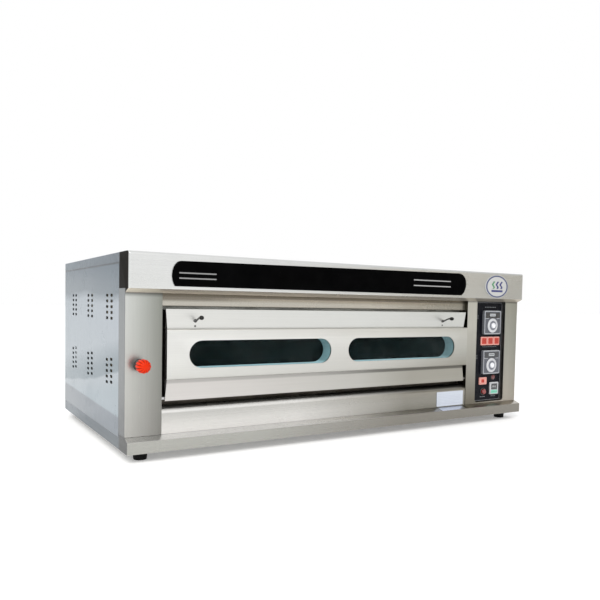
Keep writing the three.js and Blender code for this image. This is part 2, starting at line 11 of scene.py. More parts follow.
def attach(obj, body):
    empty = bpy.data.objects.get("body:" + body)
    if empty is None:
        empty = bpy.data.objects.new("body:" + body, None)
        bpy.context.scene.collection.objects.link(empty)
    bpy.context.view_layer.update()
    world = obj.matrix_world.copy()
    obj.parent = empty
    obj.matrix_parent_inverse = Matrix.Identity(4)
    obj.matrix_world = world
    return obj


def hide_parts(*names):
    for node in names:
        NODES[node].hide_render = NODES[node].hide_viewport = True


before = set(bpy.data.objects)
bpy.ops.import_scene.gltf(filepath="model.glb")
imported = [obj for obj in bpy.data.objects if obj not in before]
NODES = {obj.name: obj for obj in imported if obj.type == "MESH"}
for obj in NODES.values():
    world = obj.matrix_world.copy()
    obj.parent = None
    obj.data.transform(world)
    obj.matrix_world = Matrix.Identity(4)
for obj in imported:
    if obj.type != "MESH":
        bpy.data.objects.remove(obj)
bpy.context.view_layer.update()
scene = bpy.context.scene


def at(x, y, z):
    return Vector((x / 1000, (y - 400) / 1000, (z + 28) / 1000))


# ------------------------------------------------------------------ materials
class Mat:
    def __init__(self, name):
        self.mat = bpy.data.materials.new(name)
        self.mat.use_nodes = True
        self.t = self.mat.node_tree
        self.t.nodes.clear()
        self.out = self.t.nodes.new("ShaderNodeOutputMaterial")
        self.b = self.t.nodes.new("ShaderNodeBsdfPrincipled")
        self.t.links.new(self.b.outputs[0], self.out.inputs[0])
        self.coord = self.t.nodes.new("ShaderNodeTexCoord").outputs["Object"]

    def put(self, socket, value):
        if isinstance(value, bpy.types.NodeSocket):
            self.t.links.new(value, socket)
        elif isinstance(value, (tuple, list)) and len(value) == 3 and socket.type == "RGBA":
            socket.default_value = (*value, 1)
        else:
            socket.default_value = value

    def set(self, **inputs):
        for k, v in inputs.items():
            self.put(self.b.inputs[k.replace("_", " ")], v)
        return self

    def node(self, kind, ins=None, out=0, **props):
        n = self.t.nodes.new(kind)
        for k, v in props.items():
            setattr(n, k, v)
        for k, v in (ins or {}).items():
            self.put(n.inputs[k], v)
        return n.outputs[out]

    def math(self, op, a, b=0.0, clamp=False):
        return self.node("ShaderNodeMath", {0: a, 1: b}, operation=op, use_clamp=clamp)

    def mix(self, f, a, b):
        n = self.t.nodes.new("ShaderNodeMix")
        n.data_type = "RGBA"
        self.put(n.inputs[0], f)
        self.put(n.inputs[6], a)
        self.put(n.inputs[7], b)
        return n.outputs[2]

    def noise(self, scale, detail=3.0, rough=0.55, vec=None, stretch=None, distort=0.0):
        v = vec or self.coord
        if stretch:
            v = self.node("ShaderNodeMapping", {"Vector": v, "Scale": stretch})
        return self.node("ShaderNodeTexNoise", {"Vector": v, "Scale": scale, "Detail": detail, "Roughness": rough,
                                                "Distortion": distort})

    def ramp(self, f, a, b, lo=0.0, hi=1.0):
        """f from a..b goes to lo..hi, held at the ends."""
        return self.node("ShaderNodeMapRange", {0: f, 1: a, 2: b, 3: lo, 4: hi})

    def bump(self, height, distance, strength=1.0, under=None):
        ins = {"Height": height, "Distance": distance, "Strength": strength}
        if under is not None:
            ins["Normal"] = under
        return self.node("ShaderNodeBump", ins)

    def axes(self, vec=None):
        n = self.t.nodes.new("ShaderNodeSeparateXYZ")
        self.t.links.new(vec or self.coord, n.inputs[0])
        return n.outputs

    def normal(self):
        """Surface direction in the piece's own axes, so that it turns with the piece."""
        return self.node("ShaderNodeTexCoord", out="Normal")

    def scale(self, colour, f):
        return self.node("ShaderNodeVectorMath", {0: colour, "Scale": f}, operation="SCALE")

    def within(self, v, a, b, soft=0.001):
        """1 between a and b, fading to 0 over soft on either side."""
        up = self.ramp(v, a - soft, a)
        down = self.ramp(v, b, b + soft, 1.0, 0.0)
        return self.math("MULTIPLY", up, down)

    def grade(self, u, u0, u1, v, v0, v1, c):
        """Four corner colours, in the order (u0, v0), (u1, v0), (u0, v1), (u1, v1)."""
        fu, fv = self.ramp(u, u0, u1), self.ramp(v, v0, v1)
        return self.mix(fv, self.mix(fu, c[0], c[1]), self.mix(fu, c[2], c[3]))


GRAIN = {"x": (5.0, 1400.0, 1400.0), "y": (1400.0, 5.0, 1400.0), "z": (1400.0, 1400.0, 5.0)}
TANGENT = {"x": (1.0, 0.0, 0.0), "y": (0.0, 1.0, 0.0), "z": (0.0, 0.0, 1.0)}


def srgb(r, g, b, k=1.0):
    return tuple(k * (((v / 255 + 0.055) / 1.055) ** 2.4) for v in (r, g, b))


def X(x):
    return x / 1000


def Y(y):
    return (y - 400) / 1000


def Z(z):
    return (z + 28) / 1000


def steel(name, base, grain="x", rough=0.27, wave=0.0010, tone=0.025, smudge=0.05, aniso=0.5, warp=1.0):
    """Brushed sheet steel: fine grain along one axis, faint streaks, uneven roughness, handling smudges and the slight
    waviness of thin sheet. base is a colour or a function of the material that gives one."""
    m = Mat(name)
    colour = base(m) if callable(base) else base
    fine = m.noise(1.0, 2.0, 0.6, stretch=GRAIN[grain])
    streak = m.noise(1.0, 3.0, 0.6, stretch=tuple(v / 6 if v > 10 else v / 3 for v in GRAIN[grain]))
    cloud = m.noise(3.1, 4.0, 0.6)
    rub = m.ramp(m.noise(9.0, 5.0, 0.7, distort=0.6), 0.56, 0.72)
    f = m.math("ADD", m.ramp(streak, 0.25, 0.75, 1 - tone, 1 + tone), m.ramp(fine, 0.3, 0.7, -tone, tone))
    f = m.math("ADD", f, m.ramp(cloud, 0.3, 0.7, -0.8 * tone, 0.8 * tone))
    colour = m.scale(colour, f)
    r = m.math("ADD", m.ramp(cloud, 0.3, 0.7, rough - 0.03, rough + 0.04), m.ramp(fine, 0.3, 0.7, -0.02, 0.03))
    r = m.math("ADD", r, m.math("MULTIPLY", rub, smudge))
    wavy = m.bump(m.noise(2.6 * warp, 1.0, 0.4), wave, 1.0)
    grainy = m.bump(fine, 0.00003, 0.4, wavy)
    m.set(Base_Color=colour, Metallic=1.0, Roughness=r, Normal=grainy)
    m.set(Anisotropic=aniso)
    m.put(m.b.inputs["Tangent"], m.node("ShaderNodeCombineXYZ", {0: TANGENT[grain][0], 1: TANGENT[grain][1],
                                                               2: TANGENT[grain][2]}))
    return m


def zinc(name, base=(0.45, 0.46, 0.47), rough=0.42, metal=0.95, spangle=90.0):
    m = Mat(name)
    cell = m.node("ShaderNodeTexVoronoi", {"Vector": m.coord, "Scale": spangle}, out="Color")
    tone = m.node("ShaderNodeSeparateColor", {0: cell}, out=0)
    cloud = m.noise(5.0, 4.0, 0.6)
    colour = m.mix(tone, tuple(c * 0.94 for c in base), tuple(min(1, c * 1.06) for c in base))
    colour = m.mix(m.ramp(cloud, 0.45, 0.75, 0.0, 0.3), colour, tuple(c * 0.88 for c in base))
    r = m.math("ADD", m.ramp(tone, 0.0, 1.0, rough - 0.07, rough + 0.07), m.ramp(cloud, 0.3, 0.7, -0.03, 0.05))
    m.set(Base_Color=colour, Metallic=metal, Roughness=r, Normal=m.bump(m.noise(3.0, 2.0, 0.5), 0.0012))
    return m


def heated(name, base, tint, rough=0.4, metal=0.9, axis=1, a=-0.36, b=0.3):
    """Aluminised or stainless sheet inside the oven: heat tint, scale and baked-on haze."""
    m = Mat(name)
    cloud = m.noise(6.0, 6.0, 0.65, distort=0.8)
    specks = m.ramp(m.noise(160.0, 3.0, 0.6), 0.62, 0.72)
    depth = m.ramp(m.axes()[axis], a, b, 0.15, 0.85)
    f = m.math("MULTIPLY", m.ramp(cloud, 0.3, 0.7), depth, True)
    colour = m.mix(f, base, tint)
    colour = m.mix(m.math("MULTIPLY", specks, 0.6), colour, tuple(c * 0.35 for c in base))
    r = m.ramp(cloud, 0.3, 0.7, rough - 0.08, rough + 0.15)
    m.set(Base_Color=colour, Metallic=metal, Roughness=r, Normal=m.bump(m.noise(5.0, 2.0, 0.5), 0.0014))
    return m


def moulded(name, base, rough=0.35, grain=700.0, depth=0.00005, wear=0.12, spec=0.5, coat=0.0, sss=0.0, tone=0.06,
            glow=0.0, worn=None):
    """Moulded plastic or rubber: fine moulded texture, uneven gloss, dust and edges rubbed lighter."""
    m = Mat(name)
    cloud = m.noise(24.0, 4.0, 0.6)
    fine = m.noise(grain, 2.0, 0.5)
    colour = m.mix(cloud, tuple(c * (1 - tone) for c in base), tuple(min(1.0, c * (1 + tone) + 0.002) for c in base))
    if wear:
        soft = m.node("ShaderNodeBevel", {"Radius": 0.0008}, samples=4)
        plain = m.node("ShaderNodeNewGeometry", out="Normal")
        dot = m.node("ShaderNodeVectorMath", {0: soft, 1: plain}, out="Value", operation="DOT_PRODUCT")
        edge = m.ramp(dot, 0.995, 0.93)
        patchy = m.ramp(m.noise(180.0, 3.0, 0.7), 0.42, 0.6)
        colour = m.mix(m.math("MULTIPLY", m.math("MULTIPLY", edge, patchy), wear * 3, True), colour,
                       worn or tuple(min(1.0, c * 1.8 + 0.06) for c in base))
    r = m.math("ADD", m.ramp(cloud, 0.3, 0.7, rough - 0.05, rough + 0.07), m.ramp(fine, 0.3, 0.7, -0.02, 0.02))
    m.set(Base_Color=colour, Roughness=r, Normal=m.bump(fine, depth, 0.6), Specular_IOR_Level=spec)
    if coat:
        m.set(Coat_Weight=coat, Coat_Roughness=0.06)
    if sss:
        m.set(Subsurface_Weight=sss, Subsurface_Radius=(0.003, 0.001, 0.0006), Subsurface_Scale=1.0)
    if glow:
        m.set(Emission_Color=base, Emission_Strength=glow)
    return m


def pane(name, tint, gloss=0.02, haze=0.03, strength=1.0, veil=0.0, film=(0.55, 0.56, 0.54)):
    """Flat oven glass: tinted, mirror-like at a slant, with a faint film of baking haze."""
    m = Mat(name)
    smear = m.ramp(m.noise(14.0, 5.0, 0.65, distort=1.2), 0.45, 0.75, 0.0, haze)
    m.set(Base_Color=(0.02, 0.022, 0.022), Roughness=m.math("ADD", smear, gloss), Specular_IOR_Level=0.5 * strength,
          Normal=m.bump(m.noise(4.0, 1.0, 0.5), 0.0003))
    clear = m.node("ShaderNodeBsdfTransparent", {0: tint})
    film = m.node("ShaderNodeBsdfDiffuse", {0: film})
    fres = m.node("ShaderNodeFresnel", {0: 1.45})
    body = m.node("ShaderNodeMixShader", {0: m.math("ADD", m.math("MULTIPLY", smear, 0.8), veil), 1: clear, 2: film})
    mixed = m.node("ShaderNodeMixShader", {0: m.math("MULTIPLY", fres, 0.9 * strength, True), 1: body, 2: m.b.outputs[0]})
    m.t.links.new(mixed, m.out.inputs[0])
    return m


M = {}


# canopy: brushed front with a painted reflection, lighter at the left and duller at the right; dark end caps; painted
# shade and a painted warm reflection on the visor underneath, with a painted shadow line along its back
def canopy_colour(m):
    x, y, z = m.axes()[:3]
    n = m.axes(m.normal())
    # painted reflection: the front is drawn lighter at the left and duller towards the right
    col = m.grade(x, X(-650), X(820), z, Z(468), Z(572), (srgb(216, 217, 215), srgb(178, 180, 178), srgb(219, 220, 219),
                                                        srgb(184, 186, 184)))
    # painted shade and warm reflection on the downward-facing visor
    under = m.ramp(n[2], -0.35, -0.6)
    col = m.mix(under, col, m.mix(m.ramp(x, X(-600), X(500)), srgb(222, 211, 196), srgb(146, 137, 121)))
    # painted shadow line along the back of the visor, next to the pillars
    visor_back_shadow = m.math("MULTIPLY", under, m.ramp(y, Y(-2.5), Y(-0.5)))
    col = m.mix(visor_back_shadow, col, srgb(52, 46, 38))
    end = m.ramp(m.math("ABSOLUTE", n[0]), 0.72, 0.9)
    return m.mix(end, col, srgb(30, 28, 25))


M["canopy"] = can = steel("steel_canopy", canopy_colour, "x", rough=0.28, wave=0.0010)
end = can.ramp(can.math("ABSOLUTE", can.axes(can.normal())[0]), 0.72, 0.9)
rough = can.b.inputs["Roughness"].links[0].from_socket
# the faint warm glow on the visor is painted light; the visor is no lamp
can.set(Metallic=can.math("SUBTRACT", 1.0, end), Roughness=can.math("MAXIMUM", rough, can.math("MULTIPLY", end, 0.6)),
        Specular_IOR_Level=can.ramp(end, 0.0, 1.0, 0.5, 0.03), Emission_Color=(1.0, 0.93, 0.82),
        Emission_Strength=can.math("MULTIPLY", can.ramp(can.axes(can.normal())[2], -0.35, -0.6, 0.0, 0.12),
                                   can.ramp(can.axes()[1], Y(-2.5), Y(-1.0), 1.0, 0.0)))


def door_colour(m):
    x, y, z = m.axes()[:3]
    # painted reflection: the door is drawn lighter at the left and darker to the right, its pan darker towards the
    # bottom
    fx, fr = m.ramp(x, X(-600), X(0)), m.ramp(x, X(0), X(500))
    def run(a, b, c):
        return m.mix(fr, m.mix(fx, a, b), c)
    upper = run(srgb(198, 198, 195), srgb(199, 200, 197), srgb(192, 193, 190))
    pan = m.mix(m.ramp(z, Z(320), Z(208)), run(srgb(219, 219, 216), srgb(211, 211, 207), srgb(192, 193, 189)),
                run(srgb(189, 189, 185), srgb(182, 181, 176), srgb(142, 140, 131)))
    lower = m.mix(m.ramp(x, X(0), X(240)), m.mix(fx, srgb(195, 192, 189), srgb(180, 179, 174)), srgb(156, 154, 146))
    # painted shadow along the crease under the raised pan, deeper to the right
    crease_shadow = m.math("MULTIPLY", m.within(z, Z(194), Z(204), 0.004), m.ramp(x, X(-170), X(120), 0.26, 0.60))
    lower = m.scale(lower, m.math("SUBTRACT", 1.0, crease_shadow))
    strip = m.mix(m.ramp(z, Z(260), Z(300)), lower, upper)
    return m.mix(m.ramp(y, Y(-2), Y(-6)), strip, pan)


def lower_colour(m):
    x, y, z = m.axes()[:3]
    # painted reflection: lighter at the left, darker to the right and lower down
    col = m.grade(x, X(-250), X(220), z, Z(44), Z(104), (srgb(198, 196, 193), srgb(118, 116, 108), srgb(196, 195, 191),
                                                       srgb(150, 148, 141)))
    # painted highlight along the rounded top edge
    col = m.mix(m.ramp(z, Z(105), Z(108)), col, m.mix(m.ramp(x, X(-250), X(260)), srgb(224, 223, 220), srgb(128, 126, 120)))
    # painted shade on the sloping lip under the door, darker the further back it goes
    slope = m.mix(m.ramp(y, Y(10), Y(20)), m.mix(m.ramp(x, X(-250), X(300)), srgb(226, 225, 221), srgb(104, 102, 96)),
                  m.mix(m.ramp(x, X(-250), X(300)), srgb(165, 162, 155), srgb(84, 81, 74)))
    return m.mix(m.ramp(y, Y(5), Y(7)), col, slope)


def side_colour(m):
    x, y, z = m.axes()[:3]
    # painted reflection of the room: a lighter lower field, a wavy horizon and a darker blue-grey band higher up
    edge = m.math("ADD", z, m.ramp(m.noise(2.2, 2.0, 0.5), 0.3, 0.7, -0.016, 0.016))
    low = m.grade(y, Y(62), Y(837), z, Z(40), Z(430), (srgb(140, 149, 155), srgb(141, 151, 157), srgb(168, 176, 184),
                                                     srgb(154, 165, 173)))
    high = m.mix(m.ramp(z, Z(440), Z(540)), srgb(109, 122, 131), srgb(104, 116, 125))
    col = m.mix(m.ramp(edge, Z(430), Z(462)), low, high)
    # painted reflection: a darker blue-grey zone along a line that falls towards the back
    wob = m.ramp(m.noise(3.0, 2.0, 0.5), 0.3, 0.7, -0.008, 0.008)
    over = m.math("SUBTRACT", m.math("ADD", z, wob), m.ramp(y, Y(62), Y(837), Z(222), Z(113)))
    shade = m.math("MULTIPLY", m.ramp(over, -0.003, 0.005), m.ramp(over, 0.030, 0.105, 1.0, 0.0))
    col = m.mix(m.math("MULTIPLY", m.ramp(over, -0.003, -0.05), 0.9), col, srgb(136, 149, 157))
    col = m.mix(m.math("MULTIPLY", shade, 0.9), col, srgb(100, 117, 126))
    # painted shade along the bottom of the panel
    ground = m.math("SUBTRACT", z, m.ramp(y, Y(62), Y(837), Z(92), Z(105)))
    col = m.mix(m.ramp(ground, 0.004, -0.003), col, m.mix(m.ramp(y, Y(62), Y(837)), srgb(105, 114, 124), srgb(97, 106, 114)))
    # painted shadow under the edge of the top cover
    col = m.mix(m.ramp(z, Z(538), Z(540.5)), col, srgb(70, 76, 80))
    # painted shade along the front edge
    return m.mix(m.ramp(y, Y(66), Y(63)), col, srgb(90, 95, 98))


def pillar_colour(m):
    x, y, z = m.axes()[:3]
    n = m.axes(m.normal())
    # painted shading: the front is drawn lighter at the left and darker towards the door, a little lighter higher up
    col = m.grade(x, X(-815), X(-715), z, Z(60), Z(440), (srgb(165, 164, 160), srgb(123, 122, 118), srgb(195, 197, 193),
                                                        srgb(136, 138, 131)))
    # painted shadow under the canopy
    col = m.mix(m.ramp(z, Z(444), Z(455)), col, m.scale(col, 0.35))
    # painted shade on the outer side face, darker low down and near the front corner
    side = m.mix(m.ramp(z, Z(60), Z(400)), srgb(88, 89, 90), srgb(125, 129, 130))
    side = m.mix(m.ramp(y, Y(8), Y(2)), side, m.scale(side, 0.6))
    col = m.mix(m.ramp(n[0], -0.6, -0.85), col, side)
    # painted shade: the face towards the door is drawn near black
    return m.mix(m.ramp(n[0], 0.6, 0.85), col, srgb(34, 32, 29))


def column_colour(m):
    x, y, z = m.axes()[:3]
    n = m.axes(m.normal())
    # painted shading: the column is drawn darker low down at the left of its face and towards its right edge
    left = m.mix(m.ramp(z, Z(60), Z(360)), srgb(112, 108, 98), srgb(184, 184, 178))
    right = m.mix(m.ramp(z, Z(50), Z(300)), srgb(160, 154, 144), srgb(157, 158, 150))
    col = m.mix(m.ramp(x, X(575), X(752)), left, right)
    col = m.mix(m.ramp(x, X(775), X(818)), col, m.scale(col, 0.86))
    # painted shadow under the canopy
    col = m.mix(m.ramp(z, Z(448), Z(455)), col, m.scale(col, 0.45))
    # painted shade: the inner face by the door is drawn dark
    inner = m.ramp(n[0], -0.6, -0.85)
    return m.mix(m.math("MULTIPLY", inner, m.ramp(x, X(560), X(550))), col, srgb(82, 79, 71))


def base_colour(m):
    x, y, z = m.axes()[:3]
    n = m.axes(m.normal())
    # painted reflection: the front face is drawn lighter at the left and darker to the right
    front = m.mix(m.ramp(x, X(-420), X(-110)), srgb(161, 161, 156), srgb(148, 146, 141))
    front = m.mix(m.ramp(x, X(-110), X(180)), front, srgb(131, 128, 121))
    # painted reflection on the top of the ledge: near white at the left, dark to the right
    ledge = m.mix(m.ramp(x, X(-60), X(480)), srgb(255, 255, 254), srgb(122, 119, 113))
    ledge = m.mix(m.ramp(x, X(512), X(530)), ledge, srgb(190, 186, 177))
    # painted reflection of the rating plate: a pale bluish patch on the ledge below it
    ledge = m.mix(m.within(x, X(386), X(506), 0.006), ledge, srgb(225, 229, 238))
    # painted shade: the ends are drawn dark blue-grey, near black at the front corner
    cheek = m.mix(m.ramp(y, Y(100), Y(700)), srgb(80, 89, 96), srgb(82, 93, 103))
    cheek = m.mix(m.ramp(y, Y(66), Y(50)), cheek, m.mix(m.ramp(z, Z(30), Z(2)), srgb(44, 44, 40), srgb(18, 18, 15)))
    col = m.mix(m.ramp(n[2], 0.4, 0.7), front, ledge)
    return m.mix(m.ramp(m.math("ABSOLUTE", n[0]), 0.6, 0.85), col, cheek)


def rail_colour(m):
    z = m.axes()[2]
    x = m.axes()[0]
    right = m.ramp(x, X(100), X(480))
    # painted shading: the rail is drawn darker towards the right and along its upper part
    col = m.mix(m.ramp(z, Z(432), Z(442)), m.mix(right, srgb(182, 178, 168), srgb(148, 146, 138)),
                m.mix(right, srgb(158, 150, 136), srgb(140, 136, 126)))
    # painted shade: a dark band under the canopy and a darker left corner
    dark = m.math("MULTIPLY", m.within(z, Z(447), Z(453), 0.003), 0.55)
    rail_corner_shade = m.math("MULTIPLY", m.math("MULTIPLY", m.ramp(x, X(-380), X(-560)), m.ramp(z, Z(431), Z(439))), 0.40)
    col = m.scale(col, m.math("SUBTRACT", 1.0, m.math("MAXIMUM", dark, rail_corner_shade)))
    # painted shadow under the canopy
    col = m.mix(m.ramp(z, Z(448), Z(456)), col, srgb(100, 92, 78))
    # painted shade: a dark line along the bottom, at the gap above the door
    return m.mix(m.ramp(z, Z(422), Z(418.6)), col, srgb(50, 46, 40))


def top_colour(m):
    n = m.axes(m.normal())
    x, y, z = m.axes()[:3]
    # painted reflection: the side faces are drawn blue-grey, darker towards the front
    edge = m.mix(m.ramp(y, Y(60), Y(830)), srgb(112, 119, 126), srgb(130, 139, 145))
    # painted shadow line along the lower edge of the side faces
    edge = m.mix(m.ramp(z, Z(545.5), Z(543.5)), edge, srgb(64, 70, 74))
    return m.mix(m.ramp(m.math("ABSOLUTE", n[0]), 0.6, 0.85), srgb(196, 197, 197), edge)


M["door"] = steel("steel_door", door_colour, "x", rough=0.34, wave=0.0009, smudge=0.07)
M["lower"] = steel("steel_lower", lower_colour, "x", rough=0.27)
M["side"] = steel("steel_side", side_colour, "z", rough=0.24, wave=0.0016, warp=0.7, smudge=0.08)
M["pillar"] = steel("steel_pillar", pillar_colour, "z", rough=0.30, wave=0.0014)
M["column"] = steel("steel_column", column_colour, "z", rough=0.30, wave=0.0014)
M["base"] = steel("steel_base", base_colour, "x", rough=0.28)
M["rail"] = steel("steel_rail", rail_colour, "x", rough=0.26)
M["top"] = steel("steel_top", top_colour, "x", rough=0.27, wave=0.0016)
M["zinc"] = zinc("galvanised")
M["rod"] = zinc("zinc_rod", (0.52, 0.52, 0.53), 0.3, 1.0, 200.0)
M["liner"] = heated("aluminised_liner", (0.42, 0.42, 0.41), (0.20, 0.15, 0.10))
# the mouth frame's near-black tone is painted shade in the recess round the door, beyond the heat tint the helper gives
M["mouth"] = heated("mouth_frame", (0.11, 0.10, 0.085), (0.035, 0.028, 0.020), rough=0.42, axis=2, a=0.45, b=0.10)
M["inner_door"] = inner = heated("inner_door", (0.50, 0.49, 0.46), (0.34, 0.26, 0.18), rough=0.33, axis=2, a=0.15, b=0.5)
# painted light: the top strip of the mouth frame is drawn much lighter
mo = M["mouth"]
mcol = mo.b.inputs["Base Color"].links[0].from_socket
mo.set(Base_Color=mo.mix(mo.ramp(mo.axes()[2], Z(400), Z(406)), mcol, (0.52, 0.53, 0.49)))
# the flanges round the rim are painted near black as shade in the gap round the door; the short tunnels behind the
# windows are painted bright teal with a faint glow, painted light, and their upward faces glow brighter as a painted
# highlight
ax, an = inner.axes(), inner.axes(inner.normal())
rim = inner.math("MAXIMUM", inner.math("MAXIMUM", inner.ramp(ax[0], X(-698), X(-699.6)), inner.ramp(ax[0], X(516), X(517.6))),
                 inner.math("MAXIMUM", inner.ramp(ax[2], Z(144), Z(142)), inner.ramp(ax[2], Z(407), Z(408.6))))
slot_x = inner.math("MAXIMUM", inner.within(ax[0], X(-634), X(-124)), inner.within(ax[0], X(-55.5), X(453.5)))
tunnel = inner.math("MULTIPLY", slot_x, inner.within(ax[2], Z(234.4), Z(319.6)))
tunnel = inner.math("MULTIPLY", tunnel, inner.ramp(inner.math("ABSOLUTE", an[1]), 0.6, 0.4))
col = inner.b.inputs["Base Color"].links[0].from_socket
col = inner.mix(rim, col, (0.012, 0.011, 0.010))
col = inner.mix(tunnel, col, inner.mix(inner.noise(300.0, 3.0, 0.6), (0.60, 0.65, 0.67), (0.74, 0.79, 0.81)))
sill = inner.math("MULTIPLY", tunnel, inner.ramp(an[2], 0.8, 0.97))
glow = inner.math("MULTIPLY", tunnel, inner.ramp(ax[0], X(-150), X(440), 0.06, 0.20))
inner.set(Base_Color=col, Metallic=inner.math("MULTIPLY", 0.9, inner.math("SUBTRACT", 1.0, tunnel)),
          Emission_Color=(0.66, 0.72, 0.76), Emission_Strength=inner.math("ADD", glow, inner.math("MULTIPLY", sill, 0.55)))

M["rubber"] = moulded("rubber", (0.0045, 0.0045, 0.0045), 0.62, 500.0, 0.00012, 0.06, 0.10, worn=(0.08, 0.08, 0.08))
M["bakelite"] = moulded("bakelite", (0.005, 0.005, 0.005), 0.26, 900.0, 0.00003, 0.06, 0.25, worn=(0.06, 0.06, 0.06))
M["bezel"] = moulded("bezel_grey", (0.34, 0.355, 0.38), 0.34, 900.0, 0.00003, 0.08)
bez = M["bezel"]
bcol = bez.b.inputs["Base Color"].links[0].from_socket
# painted shade: the side faces of the bezels are drawn darker
bez.set(Base_Color=bez.mix(bez.ramp(bez.math("ABSOLUTE", bez.axes(bez.normal())[0]), 0.5, 0.8), bcol, (0.11, 0.115, 0.13)))
M["face"] = moulded("face_grey", (0.075, 0.080, 0.098), 0.30, 900.0, 0.00002, 0.05)
M["window"] = moulded("dark_window", (0.012, 0.014, 0.018), 0.10, 900.0, 0.00001, 0.03, coat=0.5)
M["print"] = moulded("pale_print", (0.46, 0.48, 0.50), 0.45, 900.0, 0.00001, 0.0, 0.3)
M["line"] = moulded("fascia_line", (0.20, 0.205, 0.215), 0.45, 900.0, 0.00001, 0.0, 0.2)
M["rule"] = rule = moulded("banner_rule", (0.38, 0.38, 0.38), 0.45, 900.0, 0.00001, 0.0, 0.1)
rcol = rule.b.inputs["Base Color"].links[0].from_socket
rule.set(Base_Color=rule.scale(rcol, rule.ramp(rule.axes()[0], X(-560), X(216), 0.52, 0.80)))
M["print_dim"] = moulded("dim_print", (0.16, 0.17, 0.18), 0.45, 900.0, 0.00001, 0.0, 0.3)
M["ink"] = moulded("dark_ink", (0.02, 0.022, 0.026), 0.45, 900.0, 0.00001, 0.0, 0.3)
M["dial"] = moulded("dial_white", (0.50, 0.51, 0.53), 0.30, 900.0, 0.00002, 0.05, worn=(0.6, 0.6, 0.58))
M["dial_band"] = moulded("dial_band", (0.15, 0.16, 0.19), 0.30, 900.0, 0.00002, 0.04)
M["dial_centre"] = moulded("dial_centre", (0.72, 0.73, 0.76), 0.28, 900.0, 0.00002, 0.06)
M["tick"] = moulded("dial_print", (0.30, 0.31, 0.32), 0.4, 900.0, 0.00001, 0.0)
M["white"] = moulded("white_moulding", (0.44, 0.45, 0.46), 0.34, 900.0, 0.00002, 0.06)
M["plate"] = moulded("plate_white", (0.50, 0.535, 0.60), 0.40, 300.0, 0.00001, 0.04, 0.2)
M["badge"] = moulded("badge_pale", (0.44, 0.445, 0.44), 0.34, 300.0, 0.00001, 0.03, 0.2)
M["blue"] = moulded("badge_blue", (0.045, 0.060, 0.14), 0.22, 300.0, 0.00001, 0.0, coat=0.4)
M["navy"] = moulded("badge_navy", (0.020, 0.026, 0.13), 0.25, 300.0, 0.00001, 0.0, coat=0.4)
M["green_ink"] = moulded("badge_green", (0.06, 0.22, 0.10), 0.25, 300.0, 0.00001, 0.0, coat=0.4)
M["lamp_frame"] = moulded("lamp_frame", (0.60, 0.27, 0.23), 0.30, 900.0, 0.00002, 0.05, glow=0.06)
M["lamp_red"] = moulded("lamp_red", (0.42, 0.040, 0.025), 0.22, 900.0, 0.00002, 0.0, 0.3, glow=0.08)
M["lamp_mark"] = moulded("lamp_mark", (0.16, 0.006, 0.006), 0.25, 900.0, 0.00001, 0.0)
M["glow"] = moulded("glow_red", (0.10, 0.006, 0.006), 0.10, 900.0, 0.00001, 0.0, coat=0.8)
M["button"] = moulded("button_red", (0.20, 0.012, 0.010), 0.16, 900.0, 0.00002, 0.05, coat=0.6)
M["mint"] = moulded("key_green", (0.20, 0.56, 0.42), 0.34, 900.0, 0.00002, 0.05)
M["mint_dark"] = moulded("key_mark", (0.04, 0.24, 0.13), 0.30, 900.0, 0.00001, 0.0)
M["digit"] = moulded("digit", (0.60, 0.62, 0.62), 0.4, 900.0, 0.00001, 0.0, glow=0.25)
M["orange"] = moulded("knob_orange", (0.66, 0.026, 0.002), 0.30, 900.0, 0.00002, 0.08, 0.09,
                      worn=(0.85, 0.16, 0.05))
ora = M["orange"]
oa = ora.axes()
# painted shade in the grooves between the flutes, and darker towards the back of the knob
ang = ora.math("ARCTAN2", ora.math("SUBTRACT", oa[2], Z(250)), ora.math("SUBTRACT", oa[0], X(-779)))
ridge = ora.ramp(ora.math("ABSOLUTE", ora.math("COSINE", ora.math("MULTIPLY", ang, 6.0))), 0.25, 0.75)
back = ora.ramp(oa[1], Y(-34), Y(-22))
ocol = ora.b.inputs["Base Color"].links[0].from_socket
ocol = ora.mix(ridge, ora.scale(ocol, 0.42), ocol)
ora.set(Base_Color=ora.mix(back, ocol, (0.12, 0.006, 0.004)))
M["orange_dark"] = moulded("knob_base", (0.018, 0.005, 0.005), 0.40, 900.0, 0.00003, 0.0)
M["screw"] = steel("screw_zinc", (0.24, 0.24, 0.25), "x", rough=0.32, wave=0.0, tone=0.1, aniso=0.0)
M["dull_rod"] = zinc("dull_rod", (0.10, 0.10, 0.10), 0.42, 0.9, 300.0)
M["screw_dark"] = moulded("screw_dark", (0.03, 0.03, 0.03), 0.4, 900.0, 0.00002, 0.1)

M["black"] = moulded("fascia_black", (0.0040, 0.0045, 0.0075), 0.26, 900.0, 0.00001, 0.0, 0.07)
M["banner"] = moulded("banner_black", (0.0006, 0.0006, 0.0007), 0.35, 900.0, 0.00001, 0.0, 0.003)
iron = Mat("hearth_iron")
pit = iron.noise(420.0, 4.0, 0.7)
cl = iron.noise(7.0, 6.0, 0.7, distort=1.0)
ic = iron.mix(iron.ramp(cl, 0.35, 0.7), (0.030, 0.028, 0.026), (0.075, 0.062, 0.050))
ic = iron.mix(iron.ramp(iron.noise(60.0, 5.0, 0.7), 0.6, 0.75, 0.0, 0.5), ic, (0.16, 0.13, 0.10))
iron.set(Base_Color=ic, Metallic=0.5, Roughness=iron.ramp(pit, 0.3, 0.7, 0.5, 0.75),
         Normal=iron.bump(pit, 0.0004, 0.6))
M["iron"] = iron
sheath = Mat("element_sheath")
band = sheath.noise(1.0, 3.0, 0.6, stretch=(12.0, 60.0, 60.0))
sc_ = sheath.mix(sheath.ramp(band, 0.35, 0.65), (0.085, 0.075, 0.065), (0.16, 0.12, 0.10))
